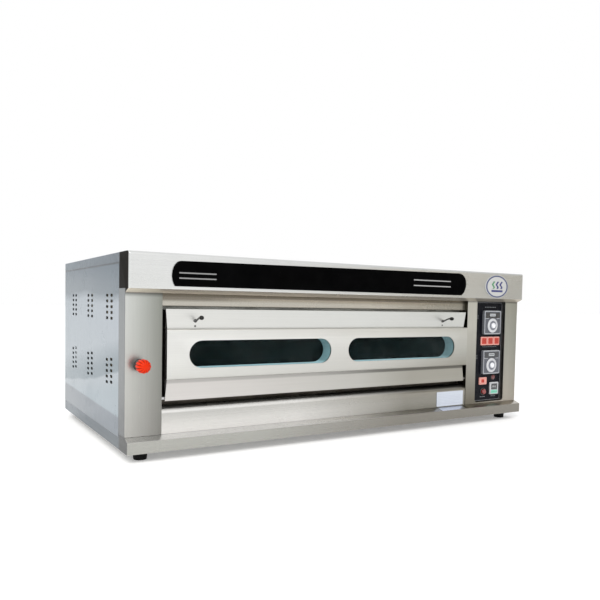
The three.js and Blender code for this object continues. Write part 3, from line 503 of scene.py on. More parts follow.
sc_ = sheath.mix(sheath.ramp(sheath.noise(500.0, 2.0, 0.5), 0.6, 0.7, 0.0, 0.6), sc_, (0.03, 0.028, 0.026))
sheath.set(Base_Color=sc_, Metallic=0.75, Roughness=sheath.ramp(band, 0.3, 0.7, 0.42, 0.62),
           Normal=sheath.bump(sheath.noise(300.0, 3.0, 0.6), 0.0001))
M["sheath"] = sheath
wool = Mat("mineral_wool")
fib = wool.noise(1.0, 5.0, 0.75, stretch=(260.0, 260.0, 900.0), distort=2.0)
wc = wool.mix(wool.ramp(fib, 0.3, 0.7), (0.42, 0.33, 0.17), (0.68, 0.58, 0.36))
wool.set(Base_Color=wc, Roughness=0.95, Normal=wool.bump(fib, 0.0015), Sheen_Weight=0.3)
M["wool"] = wool


def rim_wool():
    m = Mat("door_wool")
    ax = m.axes()
    fib = m.noise(1.0, 5.0, 0.75, stretch=(260.0, 260.0, 900.0), distort=2.0)
    col = m.mix(m.ramp(fib, 0.3, 0.7), (0.42, 0.33, 0.17), (0.68, 0.58, 0.36))
    # painted shade: the wool is drawn near black along the edges, in the gap round the door
    side = m.math("MAXIMUM", m.ramp(ax[0], X(-688), X(-694)), m.ramp(ax[0], X(506), X(512)))
    side = m.math("MAXIMUM", side, m.math("MAXIMUM", m.ramp(ax[2], Z(162), Z(158)), m.ramp(ax[2], Z(400), Z(405))))
    m.set(Base_Color=m.mix(side, col, (0.010, 0.009, 0.008)), Roughness=0.95, Normal=m.bump(fib, 0.0015))
    return m


M["wool_door"] = rim_wool()
M["pane"] = pane("oven_glass", (0.74, 0.86, 0.87), haze=0.02, strength=0.5)
M["pane_in"] = pane("oven_glass_inner", (0.26, 0.28, 0.27), haze=0.08, strength=0.7, veil=0.024, film=(0.42, 0.48, 0.48))
M["bulb"] = pane("lamp_glass", (0.80, 0.80, 0.76), haze=0.15)


# ------------------------------------------------------------------ mesh helpers
def settle(name, me, body, mat, angle=32, bevel=0.0, segments=2, slot=None, stands_for=(), even=False):
    bm = bmesh.new()
    bm.from_mesh(me)
    bmesh.ops.remove_doubles(bm, verts=bm.verts, dist=1e-6)
    bmesh.ops.recalc_face_normals(bm, faces=bm.faces)
    bm.to_mesh(me)
    bm.free()
    me.shade_smooth()
    me.set_sharp_from_angle(angle=math.radians(angle))
    me.materials.clear()
    me.materials.append(mat.mat)
    ob = bpy.data.objects.new(name, me)
    scene.collection.objects.link(ob)
    if even:
        e = ob.modifiers.new("even_faces", "WEIGHTED_NORMAL")
        e.mode, e.weight, e.keep_sharp = "FACE_AREA", 100, True
    if bevel:
        b = ob.modifiers.new("soft_edges", "BEVEL")
        b.width, b.segments, b.limit_method, b.angle_limit = bevel / 1000, segments, "ANGLE", math.radians(angle)
        b.use_clamp_overlap = True
        b.harden_normals = True
    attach(ob, body)
    if stands_for:
        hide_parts(*stands_for)
    return ob


def from_points(name, verts, faces, body, mat, **kw):
    me = bpy.data.meshes.new(name)
    me.from_pydata([at(*v) for v in verts], [], faces)
    return settle(name, me, body, mat, **kw)


def joined(name, chunks, body, mat, **kw):
    """One piece of several (verts, faces) chunks."""
    vs, fs = [], []
    for v, f in chunks:
        fs += [tuple(i + len(vs) for i in face) for face in f]
        vs += list(v)
    return from_points(name, vs, fs, body, mat, **kw)


def round_rect(u0, u1, v0, v1, r, n=8):
    pts = []
    for cu, cv, a0 in ((u1 - r, v0 + r, -90), (u1 - r, v1 - r, 0), (u0 + r, v1 - r, 90), (u0 + r, v0 + r, 180)):
        for i in range(n + 1):
            a = math.radians(a0 + 90 * i / n)
            pts.append((cu + r * math.cos(a), cv + r * math.sin(a)))
    return pts


def ring(cu, cv, r, n=32):
    return [(cu + r * math.cos(2 * math.pi * i / n), cv + r * math.sin(2 * math.pi * i / n)) for i in range(n)]


def plate(name, loops, plane, a, b, body, mat, soft=0.0, **kw):
    """A flat plate with holes. loops are outlines of (u, v), the outer one first; plane y means u = X, v = Z and the
    thickness runs from Y = a to b; plane x means u = Y, v = Z; plane z means u = X, v = Y."""
    cu = bpy.data.curves.new(name, "CURVE")
    cu.dimensions, cu.fill_mode = "2D", "BOTH"
    for loop in loops:
        s = cu.splines.new("POLY")
        s.points.add(len(loop) - 1)
        for p, (u, v) in zip(s.points, loop):
            p.co = (u / 1000, v / 1000, 0, 1)
        s.use_cyclic_u = True
    cu.extrude = abs(b - a) / 2000 - soft / 1000
    if soft:
        cu.bevel_depth, cu.bevel_resolution, cu.offset = soft / 1000, 1, -soft / 1000
    tmp = bpy.data.objects.new(name + "_outline", cu)
    scene.collection.objects.link(tmp)
    bpy.context.view_layer.update()
    me = bpy.data.meshes.new_from_object(tmp.evaluated_get(bpy.context.evaluated_depsgraph_get()))
    bpy.data.objects.remove(tmp)
    bpy.data.curves.remove(cu)
    mid = (a + b) / 2
    for v in me.vertices:
        u, w, t = v.co.x * 1000, v.co.y * 1000, v.co.z * 1000
        v.co = at(u, mid - t, w) if plane == "y" else at(mid + t, u, w) if plane == "x" else at(u, w, mid + t)
    me.name = name
    return settle(name, me, body, mat, even=True, **kw)


def turned(profile, axis, p, q, seg=48, radius=None):
    """(verts, faces) of a turned solid: profile of (radius, height along the axis)."""
    vs, fs, rows = [], [], []
    for r, h in profile:
        row = []
        n = 1 if r < 1e-6 else seg
        for i in range(n):
            t = 2 * math.pi * i / seg
            rr = r if radius is None else radius(r, h, t)
            c, s = rr * math.cos(t), rr * math.sin(t)
            row.append(len(vs))
            vs.append((p + c, h, q + s) if axis == "y" else (p + c, q + s, h) if axis == "z" else (h, p + c, q + s))
        rows.append(row)
    for a, b in zip(rows, rows[1:]):
        for i in range(seg):
            j = (i + 1) % seg
            f = [a[i % len(a)], a[j % len(a)], b[j % len(b)], b[i % len(b)]]
            f = tuple(dict.fromkeys(f))
            if len(f) > 2:
                fs.append(f)
    if len(rows[0]) > 1 and len(rows[-1]) > 1:
        if profile[0] == profile[-1]:
            pass
        else:
            fs.append(tuple(rows[0]))
            fs.append(tuple(rows[-1]))
    return vs, fs


def box(x0, x1, y0, y1, z0, z1):
    v = [(x, y, z) for x in (x0, x1) for y in (y0, y1) for z in (z0, z1)]
    return v, [(0, 1, 3, 2), (4, 6, 7, 5), (0, 4, 5, 1), (2, 3, 7, 6), (0, 2, 6, 4), (1, 5, 7, 3)]


def screw(cx, cy, cz, facing, r=4.0, h=1.7, cross=True):
    """Pan head with a cross recess, standing on a face whose outward direction is facing (such as '-y')."""
    radii = [0.0, 0.16, 0.32, 0.48, 0.62, 0.76, 0.9, 1.0, 1.0]
    seg = 32
    vs, fs, rows = [], [], []
    for k, f in enumerate(radii):
        n = 1 if f == 0 else seg
        row = []
        for i in range(n):
            t = 2 * math.pi * i / seg + 0.35
            u, v = f * r * math.cos(t), f * r * math.sin(t)
            w = h * math.sqrt(max(0.0, 1 - (0.93 * f) ** 2)) if k < len(radii) - 1 else -0.15
            if cross and f <= 0.62 and (abs(u) < 0.17 * r or abs(v) < 0.17 * r):
                w -= 0.55 * h * (1 - f)
            if facing[1] == "y":
                pnt = (cx + u, cy + (-w if facing[0] == "-" else w), cz + v)
            elif facing[1] == "x":
                pnt = (cx + (-w if facing[0] == "-" else w), cy + u, cz + v)
            else:
                pnt = (cx + u, cy + v, cz + (-w if facing[0] == "-" else w))
            row.append(len(vs))
            vs.append(pnt)
        rows.append(row)
    for a, b in zip(rows, rows[1:]):
        for i in range(seg):
            j = (i + 1) % seg
            f = tuple(dict.fromkeys([a[i % len(a)], a[j % len(a)], b[j % len(b)], b[i % len(b)]]))
            fs.append(f)
    fs.append(tuple(rows[-1]))
    return vs, fs


def tube(name, points, r, body, mat, cyclic=False, res=5, **kw):
    cu = bpy.data.curves.new(name, "CURVE")
    cu.dimensions = "3D"
    cu.bevel_depth, cu.bevel_resolution, cu.use_fill_caps = r / 1000, res, True
    s = cu.splines.new("POLY")
    s.points.add(len(points) - 1)
    for p, c in zip(s.points, points):
        p.co = (*at(*c), 1)
    s.use_cyclic_u = cyclic
    tmp = bpy.data.objects.new(name + "_run", cu)
    scene.collection.objects.link(tmp)
    bpy.context.view_layer.update()
    me = bpy.data.meshes.new_from_object(tmp.evaluated_get(bpy.context.evaluated_depsgraph_get()))
    bpy.data.objects.remove(tmp)
    bpy.data.curves.remove(cu)
    me.name = name
    return settle(name, me, body, mat, angle=50, **kw)


def lettering(name, text, size, x, z, y, body, mat, thick=0.15, turn=0.0, **kw):
    """Raised figures on a dial, facing the front; (x, z) is their middle."""
    cu = bpy.data.curves.new(name, "FONT")
    cu.body, cu.size, cu.align_x, cu.align_y = text, size / 1000, "CENTER", "CENTER"
    cu.extrude, cu.resolution_u = thick / 2000, 3
    tmp = bpy.data.objects.new(name + "_text", cu)
    scene.collection.objects.link(tmp)
    bpy.context.view_layer.update()
    me = bpy.data.meshes.new_from_object(tmp.evaluated_get(bpy.context.evaluated_depsgraph_get()))
    bpy.data.objects.remove(tmp)
    bpy.data.curves.remove(cu)
    c, s = math.cos(turn), math.sin(turn)
    for v in me.vertices:
        u, w, t = v.co.x * 1000, v.co.y * 1000, v.co.z * 1000
        v.co = at(x + u * c - w * s, y - thick / 2 - t, z + u * s + w * c)
    return settle(name, me, body, mat, **kw)


# ------------------------------------------------------------------ finishes on the carried-over nodes
FINISH = {
    "base_frame": "base", "foot_front_left": "rubber", "foot_front_right": "rubber", "foot_rear_left": "rubber",
    "foot_rear_right": "rubber", "rear_panel": "zinc", "top_cover": "top", "canopy": "canopy", "banner_plate": "banner",
    "badge": "badge", "left_pillar": "pillar", "control_column": "column", "fascia_plate": "black",
    "thermostat_upper": "bezel", "thermostat_lower": "bezel", "phase_lamp_1": "lamp_frame", "phase_lamp_2": "lamp_frame",
    "phase_lamp_3": "lamp_frame", "glow_lamp": "glow", "switch_housing": "lamp_frame", "timer_body": "white",
    "upper_front_rail": "rail", "lower_front_panel": "lower", "rating_plate": "plate", "chamber_liner": "liner",
    "chamber_front_frame": "mouth", "hearth_plate_left": "iron", "hearth_plate_middle": "iron",
    "hearth_plate_right": "iron", "probe_upper": "rod", "probe_lower": "rod", "chamber_lamp": "bulb",
    "insulation_jacket": "wool", "insulation_floor": "wool", "door_insulation": "wool_door", "flue_duct": "zinc",
    "contactor": "bezel", "cable_gland": "bakelite", "door_skin": "door", "door_inner_panel": "inner_door",
    "glass_outer_left": "pane", "glass_outer_right": "pane", "glass_inner": "pane_in", "hinge_rod": "rod",
    "damper_rod": "rod", "damper_gate": "zinc", "power_rocker": "lamp_frame", "push_button": "button",
    "timer_key": "mint", "side_panel_left": "side", "side_panel_right": "side", "top_element_front": "sheath",
    "top_element_rear": "sheath", "bottom_element_front": "sheath", "bottom_element_rear": "sheath",
    "door_handle_left": "bakelite", "door_handle_right": "bakelite", "damper_knob": "orange", "dial_upper": "dial",
    "dial_lower": "dial",
}
SOFT = {"canopy": 0.7, "top_cover": 0.8, "base_frame": 0.14, "left_pillar": 0.7, "control_column": 0.6, "door_skin": 0.45,
        "door_inner_panel": 0.4, "banner_plate": 0.6, "fascia_plate": 0.3, "rear_panel": 0.5, "lower_front_panel": 0.3,
        "upper_front_rail": 0.3, "chamber_front_frame": 0.4, "chamber_liner": 0.4, "thermostat_upper": 0.9,
        "thermostat_lower": 0.9, "timer_body": 0.8, "switch_housing": 0.5, "power_rocker": 0.5, "timer_key": 0.5,
        "phase_lamp_1": 0.8, "phase_lamp_2": 0.8, "phase_lamp_3": 0.8, "hearth_plate_left": 0.6,
        "hearth_plate_middle": 0.6, "hearth_plate_right": 0.6, "rating_plate": 0.3, "contactor": 0.8,
        "glass_inner": 0.4, "damper_gate": 0.4}
for name, ob in NODES.items():
    me = ob.data
    if "custom_normal" in me.attributes:
        me.attributes.remove(me.attributes["custom_normal"])
    me.shade_smooth()
    me.materials.clear()
    me.materials.append(M[FINISH[name]].mat)
    w = ob.modifiers.new("weld", "WELD")
    w.merge_threshold = 1e-6
    b = ob.modifiers.new("soft_edges", "BEVEL")
    b.width = SOFT.get(name, 0.25) / 1000
    b.segments, b.limit_method, b.angle_limit = 2, "ANGLE", math.radians(27)
    b.use_clamp_overlap = False
    b.harden_normals = True


# ------------------------------------------------------------------ side panels with their vent slots
def vents(y_shift=0.0):
    loops = []
    for c, pair in enumerate(((686, 639), (445, 392), (196, 145))):
        for k, y in enumerate(pair):
            for row in range(5):
                loops.append((y, 379 + 17.2 * row))
                low = 182 + 17.2 * row - (0 if k == 0 else -4.5)
                loops.append((y, low))
    return loops


def side_panel(name, x0, x1, node):
    loops = [round_rect(62.3, 836.7, 35.3, 542.7, 0.6, 2)]
    for y, z in vents():
        loops.append(round_rect(y - 13, y + 13, z - 4.25, z + 4.25, 4.0, 5))
    return plate(name, loops, "x", x0, x1, "casing", M["side"], soft=0.35, slot="stainless", stands_for=(node,))


side_panel("vented_side_left", -820, -818, "side_panel_left")
side_panel("vented_side_right", 818, 820, "side_panel_right")

# ------------------------------------------------------------------ screws
chunks = []
for x in (-780, -520, -260, 0, 260, 520, 780):
    for z in (52, 527):
        chunks.append(screw(x, 836.5, z, "+y", 6.0, 3.0))
for z in (150, 330, 430):
    for x in (-800, 800):
        chunks.append(screw(x, 836.5, z, "+y", 6.0, 3.0))
joined("rear_screws", chunks, "casing", M["screw"], angle=40, slot="galvanised")

# ------------------------------------------------------------------ fascia printing
def bars(items, y, t=0.12):
    return [box(x0, x1, y - t, y, z0, z1) for x0, x1, z0, z1 in items]


plate("fascia_line", [round_rect(585.4, 745.6, 52.6, 452.0, 8, 8), round_rect(587.0, 744.0, 54.4, 450.6, 7, 8)],
      "y", 15.8, 16.0, "casing", M["line"], slot="white_plastic")
marks = []
for i in range(7):  # blank heading over the upper thermostat
    marks.append((645 + i * 9.4, 651.5 + i * 9.4, 431.5, 434.5))
for i in range(8):  # two blank rows between the lamps and the lower thermostat
    marks.append((636 + i * 10.6, 643.5 + i * 10.6, 270.4, 272.4))
for zc in (398, 236):
    for j in range(3):
        marks.append((597, 609, zc - 6 * j, zc - 6 * j + 1.6))
joined("fascia_marks", bars(marks, 16.0), "casing", M["print_dim"], slot="white_plastic")
low_marks = [(630, 640, 66, 69), (642, 648, 66, 69), (650, 659, 66, 69), (694, 703, 66, 69), (705, 710, 66, 69),
             (712, 720, 66, 69)]
joined("fascia_low_marks", bars(low_marks, 16.0), "casing", M["print_dim"], slot="white_plastic")

M["faint"] = moulded("faint_print", (0.43, 0.465, 0.53), 0.45, 900.0, 0.00001, 0.0, 0.2)
lines = [(384, 384 + w, z, z + 1.3) for w, z in ((62, 93), (118, 86), (118, 80), (118, 74), (118, 68), (90, 62), (118, 56))]
joined("rating_lines", bars(lines, 0.4, 0.1), "casing", M["faint"], slot="white_plastic")

# ------------------------------------------------------------------ thermostats and their dials
for tag, zc in (("upper", 371.0), ("lower", 209.0)):
    x0, x1, z0, z1 = 678 - 48, 678 + 48, zc - 48, zc + 48
    plate(f"{tag}_bezel_rim", [round_rect(x0 + 0.6, x1 - 0.6, z0 + 0.6, z1 - 0.6, 4.6, 6),
                               round_rect(x0 + 4.2, x1 - 4.2, z0 + 4.2, z1 - 4.2, 2.2, 5)],
          "y", 2.4, 4.0, "casing", M["bezel"], soft=0.5, slot="grey_plastic")
    plate(f"{tag}_face", [round_rect(x0 + 4.4, x1 - 4.4, z0 + 4.4, z1 - 4.4, 2.0, 5)], "y", 3.84, 4.0, "casing",
          M["face"], slot="grey_plastic")
    plate(f"{tag}_window", [round_rect(x0 + 8, x1 - 8, z1 - 30, z1 - 7.5, 2.0, 5)], "y", 3.5, 3.84, "casing",
          M["window"], slot="black_panel")
    plate(f"{tag}_label", [round_rect(678 - 16, 678 + 16, z1 - 22.6, z1 - 12.4, 0.8, 3)], "y", 3.36, 3.5, "casing",
          M["print"], slot="white_plastic")
    joined(f"{tag}_label_marks", bars([(678 - 13 + 5.4 * i, 678 - 9 + 5.4 * i, z1 - 19.4, z1 - 15.6) for i in range(5)],
                                      3.36, 0.08), "casing", M["ink"], slot="black_panel")
    joined(f"{tag}_face_line", bars([(x0 + 6, 678 - 22, z1 - 32.6, z1 - 31.0), (678 + 24, x1 - 6, z1 - 32.6, z1 - 31.0)],
                                    3.84, 0.1), "casing", M["print"], slot="white_plastic")
    zd, body = zc - 12.5, f"dial_{tag}"
    # outer ring, dark band and centre knob
    joined(f"{tag}_dial_ring", [turned([(19.2, 3.7), (28.4, 3.7), (29.0, 3.1), (28.8, 2.4), (25.6, 0.9), (20.2, 0.35),
                                        (19.2, 0.9), (19.2, 3.7)], "y", 678, zd, 96)],
           body, M["dial"], slot="white_plastic", stands_for=(f"dial_{tag}",))
    joined(f"{tag}_dial_band", [turned([(0, 3.7), (19.1, 3.7), (19.1, 1.1), (14.2, 0.2), (0, 0.2)], "y", 678, zd, 96)],
           body, M["dial_band"], slot="black_panel")

    def fluted(r, h, t):
        return r - (0.4 * (0.5 + 0.5 * math.cos(24 * t)) if 10.2 < r < 12 and h > -4.0 else 0.0)

    joined(f"{tag}_dial_knob", [turned([(0, -4.9), (6.0, -5.0), (8.6, -4.8), (9.9, -4.2), (10.4, -3.4),
                                        (10.6, -2.4), (10.8, -1.4), (11.0, -0.4), (11.0, 0.6), (0, 0.6)],
                                       "y", 678, zd, 144, fluted)], body, M["dial_centre"], slot="white_plastic")
    joined(f"{tag}_dial_pointer", [box(677.3, 678.7, -5.05, -4.8, zd + 3.0, zd + 8.4)], body, M["tick"],
           slot="black_panel")
    ticks = []
    for i in range(31):
        a = math.radians(240 - i * 10)
        big = i % 5 == 0
        r0, r1, w = (23.6 if big else 25.2), 27.4, (0.42 if big else 0.22)
        c, s = math.cos(a), math.sin(a)
        quad = []
        for rr, ww in ((r0, -w), (r0, w), (r1, w), (r1, -w)):
            yy = 0.35 + (rr - 20.2) * (0.9 - 0.35) / 5.4 if rr < 25.6 else 0.9 + (rr - 25.6) * 1.5 / 3.2
            quad.append((678 + rr * c - ww * s, yy, zd + rr * s + ww * c))
        v = [(x, y - 0.07, z) for x, y, z in quad] + [(x, y + 0.05, z) for x, y, z in quad]
        ticks.append((v, [(0, 1, 2, 3), (7, 6, 5, 4), (0, 4, 5, 1), (1, 5, 6, 2), (2, 6, 7, 3), (3, 7, 4, 0)]))
    joined(f"{tag}_dial_ticks", ticks, body, M["tick"], slot="black_panel")
    for k, i in enumerate(range(0, 31, 5)):
        a = math.radians(240 - i * 10)
        lettering(f"{tag}_dial_{k}", str(50 * k), 3.0, 678 + 21.7 * math.cos(a), zd + 21.7 * math.sin(a), 0.42,
                  body, M["tick"], 0.12, a - math.pi / 2, slot="black_panel")

# ------------------------------------------------------------------ phase lamps
for i, x in enumerate((640.3, 676.8, 713.3)):
    z = 295.3
    plate(f"lamp_{i + 1}_lens", [round_rect(x - 12.2, x + 12.2, z - 12.2, z + 12.2, 2.5, 6)], "y", 9.3, 11.2, "casing",
          M["lamp_red"], soft=0.8, slot="red_lens")
    joined(f"lamp_{i + 1}_ribs", [box(x - 8 + 4 * k - 0.5, x - 8 + 4 * k + 0.5, 9.05, 9.6, z - 8.5, z + 8.5)
                                 for k in range(5)], "casing", M["lamp_mark"], bevel=0.15, slot="red_lens")

# ------------------------------------------------------------------ rocker marks, button collar, timer
t8 = math.radians(-8)
def on_rocker(u, v, z):
    return (641 + u * math.cos(t8) - v * math.sin(t8), 17 + u * math.sin(t8) + v * math.cos(t8), z)


def rocker_box(u0, u1, v0, v1, z0, z1):
    v, f = box(u0, u1, v0, v1, z0, z1)
    return [on_rocker(*p) for p in v], f


def slope(u):  # the rocker's face
    return -4.6 - 2.0 * abs(u) / 16


marks = [rocker_box(-6.4, -5.2, slope(0) - 1.05, slope(0) - 0.8, 129.3, 135.7)]
vs, fs = [], []
for k in range(24):
    a = 2 * math.pi * k / 24
    for rr in (2.3, 3.4):
        for d in (-1.05, -0.8):
            u = 4.6 + rr * math.cos(a)
            vs.append(on_rocker(u, slope(0) + d, 132.5 + rr * math.sin(a)))
for k in range(24):
    a, b = 4 * k, 4 * ((k + 1) % 24)
    fs += [(a, a + 2, b + 2, b), (a + 1, b + 1, b + 3, a + 3), (a, b, b + 1, a + 1), (a + 2, a + 3, b + 3, b + 2)]
marks.append((vs, fs))
joined("rocker_lens", [rocker_box(-10.5, 10.5, slope(0) - 0.9, slope(10.5) + 0.6, 125.8, 139.2)], "switch_rocker", M["lamp_red"],
       bevel=0.4, slot="red_lens")
joined("rocker_marks", marks, "switch_rocker", M["lamp_mark"], slot="dark_red")

joined("button_collar", [turned([(11.4, 16.0), (15.2, 16.0), (15.2, 15.2), (14.4, 14.4), (12.2, 14.2), (11.4, 14.9),
                                 (11.4, 16.0)], "y", 647, 88.7, 64)], "casing", M["screw_dark"], slot="black_panel")
joined("glow_collar", [turned([(10.2, 16.0), (12.4, 16.0), (12.2, 15.0), (10.9, 14.6), (10.2, 15.2), (10.2, 16.0)],
                              "y", 703, 145.5, 48)], "casing", M["screw_dark"], slot="black_panel")
plate("timer_window", [round_rect(707 - 17.5, 707 + 17.5, 95, 119, 2.0, 5)], "y", 9.75, 10.0, "casing", M["window"],
      slot="black_panel")


def seven(x, z, w, h, t, segs):
    s = {"a": (x, x + w, z + h - t, z + h), "g": (x, x + w, z + h / 2 - t / 2, z + h / 2 + t / 2), "d": (x, x + w, z, z + t),
         "f": (x, x + t, z + h / 2, z + h), "b": (x + w - t, x + w, z + h / 2, z + h), "e": (x, x + t, z, z + h / 2),
         "c": (x + w - t, x + w, z, z + h / 2)}
    return [s[k] for k in segs]


digits = []
for k in range(4):
    digits += seven(697.6 + 4.9 * k + (0.9 if k > 1 else -0.9), 103.4, 3.2, 7.2, 0.75, "abcdef")
joined("timer_digits", bars(digits, 9.75, 0.06), "casing", M["digit"], slot="white_plastic")
joined("timer_key_marks", [turned([(0, 8.6), (1.5, 8.65), (1.9, 8.85), (1.9, 9.1), (0, 9.1)], "y", 707 + dx, 85.8, 20)
                           for dx in (-12.5, -4.2, 4.2, 12.5)], "timer_key", M["mint_dark"], slot="pale_green")

# ------------------------------------------------------------------ damper knob
def lobes(r, h, t):
    grip = max(0.0, min(1.0, (r - 7.0) / 6.0)) * max(0.0, min(1.0, (-21.0 - h) / 3.0))
    k = abs(math.cos(6 * t)) ** 0.55
    return r * (1 - 0.13 * grip * (1 - k))


prof = [(0, -61.7), (3.0, -61.6), (6.5, -61.1), (9.8, -60.1), (12.8, -58.4), (15.4, -56.0), (17.4, -53.0), (18.9, -49.4),
        (19.8, -45.4), (20.3, -41.0), (20.4, -36.0), (20.2, -31.5), (19.6, -27.6), (18.4, -24.6), (16.8, -22.6), (15.6, -21.0)]
joined("knob_grip", [turned(prof + [(0, -21.0)], "y", -779, 250, 192, lobes)], "damper", M["orange"], angle=60,
       slot="orange", stands_for=("damper_knob",))
# the collar and the escutcheon behind it are real parts; their near-black colour also stands in for the shadow at the
# knob's base
joined("knob_collar", [turned([(0, -21.4), (16.4, -21.4), (17.4, -19.6), (17.2, -12.0), (15.6, -7.0), (13.6, -4.6), (13.0, -2.0),
                               (0, -2.0)], "y", -779, 250, 64)], "damper", M["orange_dark"], slot="orange")
joined("rod_escutcheon", [turned([(8.6, -0.2), (17.5, -0.2), (17.5, -0.9), (16.4, -1.6), (9.4, -1.6), (8.6, -1.0),
                                  (8.6, -0.2)], "y", -779, 250, 64)], "casing", M["screw_dark"], slot="galvanised")

# ------------------------------------------------------------------ door handle arms
def sweep(path, radii, seg=20):
    """(verts, faces) of a round arm along a path in the Y-Z plane; radii are (across X, in plane)."""
    vs, fs, rows = [], [], []
    n = len(path)
    for i, (x, y, z) in enumerate(path):
        a, b = path[max(0, i - 1)], path[min(n - 1, i + 1)]
        d = Vector((b[0] - a[0], b[1] - a[1], b[2] - a[2])).normalized()
        side = Vector((1, 0, 0))
        up = side.cross(d).normalized()
        rx, ru = radii[i]
        row = []
        for k in range(seg):
            t = 2 * math.pi * k / seg
            p = Vector((x, y, z)) + side * (rx * math.cos(t)) + up * (ru * math.sin(t))
            row.append(len(vs))
            vs.append(tuple(p))
        rows.append(row)
    for a, b in zip(rows, rows[1:]):
        for k in range(seg):
            j = (k + 1) % seg
            fs.append((a[k], a[j], b[j], b[k]))
    fs.append(tuple(rows[0]))
    fs.append(tuple(rows[-1]))
    return vs, fs


for tag, x in (("left", -610.0), ("right", 398.0)):
    arm = [(x, 2.5, 376.4), (x, -3, 376.8), (x, -9, 378.4), (x, -16, 381.4), (x, -23, 384.2), (x, -30, 386.2), (x, -38, 387.0)]
    rad = [(3.3, 3.3), (3.1, 3.1), (2.9, 2.9), (2.8, 2.8), (2.8, 2.8), (2.9, 2.9), (3.2, 3.2)]
    knob = turned([(0, -53.8), (2.6, -53.5), (4.6, -52.2), (6.0, -49.6), (6.5, -46), (6.2, -41.5), (5.2, -38.2), (3.8, -36.2),
                   (0, -35.8)], "y", x, 386.6, 40)
    joined(f"handle_{tag}", [knob], "door", M["bakelite"], angle=50, slot="bakelite", stands_for=(f"door_handle_{tag}",)).visible_glossy = False
    joined(f"handle_{tag}_arm", [sweep(arm, rad), turned([(0, -0.6), (4.6, -0.4), (5.4, 0.6), (5.6, 3.6), (0, 3.6)],
                                                         "y", x, 376.4, 40)],
           "door", M["dull_rod"], angle=50, slot="bakelite")
    joined(f"handle_{tag}_screw", [screw(x, 4.4, 360.5, "-y", 3.0, 1.5)], "door", M["dull_rod"], slot="bakelite")

# ------------------------------------------------------------------ heating elements as smooth tubes
def element(name, ys, z, node):
    left, right, end, pts = -640, 455, 590, []
    def bend(x, ya, yb, sgn):
        c, R = (ya + yb) / 2, abs(yb - ya) / 2
        for i in range(1, 12):
            a = -math.pi / 2 + i / 12 * math.pi
            a = a if yb > ya else -a
            pts.append((x + sgn * R * math.cos(a), c + R * math.sin(a), z))
    pts.append((end, ys[0], z)); pts.append((left, ys[0], z)); bend(left, ys[0], ys[1], -1)
    pts.append((left, ys[1], z)); pts.append((right, ys[1], z)); bend(right, ys[1], ys[2], 1)
    pts.append((right, ys[2], z)); pts.append((left, ys[2], z)); bend(left, ys[2], ys[3], -1)
    pts.append((left, ys[3], z)); pts.append((end, ys[3], z))
    tube(name, pts, 3.9, "casing", M["sheath"], slot="heater", stands_for=(node,))


for tag, z in (("top", 398), ("bottom", 127)):
    element(f"{tag}_heater_front", (100, 175, 250, 325), z, f"{tag}_element_front")
    element(f"{tag}_heater_rear", (400, 475, 550, 625), z, f"{tag}_element_rear")

# ------------------------------------------------------------------ banner rules and badge
rules = [(x0, x1, z - 1.9, z + 1.9) for x0, x1, za, zb in ((-674, -558.5, 500.2, 515.5), (216.5, 401, 507.2, 527.4))
         for z in (za, zb)]
joined("banner_rules", bars(rules, -31.7, 0.12), "casing", M["rule"], slot="white_plastic")


def oval(a, b, n=96):
    return [(658 + a * math.cos(2 * math.pi * i / n), 516 + b * math.sin(2 * math.pi * i / n)) for i in range(n)]


plate("badge_ring", [oval(62.6, 43.8), oval(55.6, 38.8)], "y", -30.98, -30.2, "casing", M["blue"], slot="white_plastic")
for k, (mat, x) in enumerate((("green_ink", 636), ("navy", 658), ("navy", 680))):
    path = [(x + 4.2 * math.sin(2.6 * math.pi * i / 24), 507 + 29 * i / 24) for i in range(25)]
    vs = [(px + sgn * 4.6, y, pz) for px, pz in path for sgn in (-1, 1) for y in (-31.62, -30.9)]
    fs = []
    for i in range(24):
        q = 4 * i
        fs += [(q, q + 2, q + 6, q + 4), (q + 1, q + 5, q + 7, q + 3), (q, q + 4, q + 5, q + 1), (q + 2, q + 3, q + 7, q + 6)]
    fs += [(0, 1, 3, 2), (96, 98, 99, 97)]
    joined(f"badge_wave_{k + 1}", [(vs, fs)], "casing", M[mat], slot="white_plastic")
joined("badge_bar", [box(626, 690, -31.62, -30.9, 494, 502)], "casing", M["navy"], bevel=0.1, slot="white_plastic")

# ------------------------------------------------------------------ floor, light and camera
floor = Mat("floor")
fc = floor.mix(floor.noise(1.3, 4.0, 0.6), (0.88, 0.88, 0.88), (0.91, 0.91, 0.91))
floor.set(Base_Color=fc, Roughness=0.7, Specular_IOR_Level=0.1, Emission_Color=(1.0, 1.0, 1.0), Emission_Strength=0.22)
me = bpy.data.meshes.new("studio_floor")
me.from_pydata([(-40, -40, 0), (40, -40, 0), (40, 40, 0), (-40, 40, 0)], [], [(0, 1, 2, 3)])
me.materials.append(floor.mat)
ground = bpy.data.objects.new("studio_floor", me)
scene.collection.objects.link(ground)


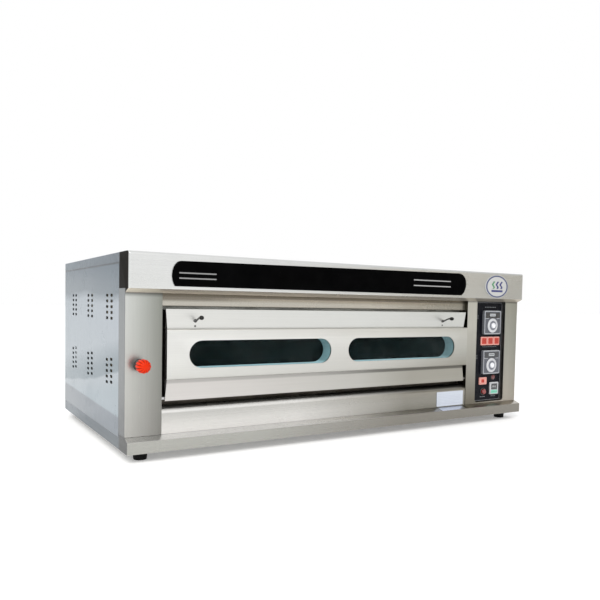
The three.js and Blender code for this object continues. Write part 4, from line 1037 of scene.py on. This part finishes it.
def card(name, centre, size, facing, colour, level=False):
    """A matt card out of the picture that only the steel mirrors."""
    m = Mat(name)
    m.set(Base_Color=m.mix(m.noise(2.0), colour, tuple(c * 1.05 for c in colour)), Roughness=0.9, Specular_IOR_Level=0.1)
    w, h = size[0] / 2, size[1] / 2
    me = bpy.data.meshes.new(name)
    me.from_pydata([(-w, -h, 0), (w, -h, 0), (w, h, 0), (-w, h, 0)], [], [(0, 1, 2, 3)])
    me.materials.append(m.mat)
    ob = bpy.data.objects.new(name, me)
    scene.collection.objects.link(ob)
    ob.location = centre
    if not level:
        ob.rotation_mode = "QUATERNION"
        ob.rotation_quaternion = (Vector(facing) - Vector(centre)).to_track_quat("Z", "Y")
    ob.visible_camera = ob.visible_diffuse = ob.visible_shadow = ob.visible_transmission = False


card("card_front_right", (3.1, -2.2, 1.3), (3.0, 2.2), (0.4, -0.2, 0.4), (0.70, 0.66, 0.60))
card("card_back_left", (-1.75, 3.6, 1.95), (2.4, 2.7), (-0.8, 0.0, 0.45), (0.60, 0.63, 0.66))

world = bpy.data.worlds.new("studio")
scene.world = world
world.use_nodes = True
world.node_tree.nodes["Background"].inputs[0].default_value = (1.0, 1.0, 1.0, 1)
world.node_tree.nodes["Background"].inputs[1].default_value = 1.0


def area(name, place, aim, size, power, colour=(1, 1, 1)):
    d = bpy.data.lights.new(name, "AREA")
    d.shape, d.size, d.size_y, d.energy, d.color = "RECTANGLE", size[0], size[1], power, colour
    ob = bpy.data.objects.new(name, d)
    scene.collection.objects.link(ob)
    ob.location = place
    ob.rotation_mode = "QUATERNION"
    ob.rotation_quaternion = (Vector(aim) - Vector(place)).to_track_quat("-Z", "Y")


area("key", (-2.2, -2.8, 2.6), (0, 0, 0.3), (2.4, 1.6), 90, (1.0, 0.99, 0.97))

CAM = (-1.309028, -2.136993, 0.461920)
YAW, PITCH, ROLL, F = 0.5553785, 0.0433907, -0.0188997, 619.383
cy, sy, cp, sp, cr, sr = (math.cos(YAW), math.sin(YAW), math.cos(PITCH), math.sin(PITCH), math.cos(ROLL), math.sin(ROLL))
f = Vector((sy * cp, cy * cp, -sp))
r = Vector((cy, -sy, 0))
d = f.cross(r)
r2, d2 = r * cr + d * sr, d * cr - r * sr
cam_data = bpy.data.cameras.new("camera")
cam_data.sensor_width, cam_data.lens = 36.0, F / 600 * 36
cam_data.shift_x, cam_data.shift_y = -0.005915, 0.05067
cam_data.clip_start, cam_data.clip_end = 0.05, 100
cam = bpy.data.objects.new("camera", cam_data)
scene.collection.objects.link(cam)
rot = Matrix((r2, -d2, -f)).transposed()
cam.matrix_world = Matrix.Translation(CAM) @ rot.to_4x4()
scene.camera = cam
scene.view_settings.view_transform = "Standard"

bpy.context.view_layer.update()
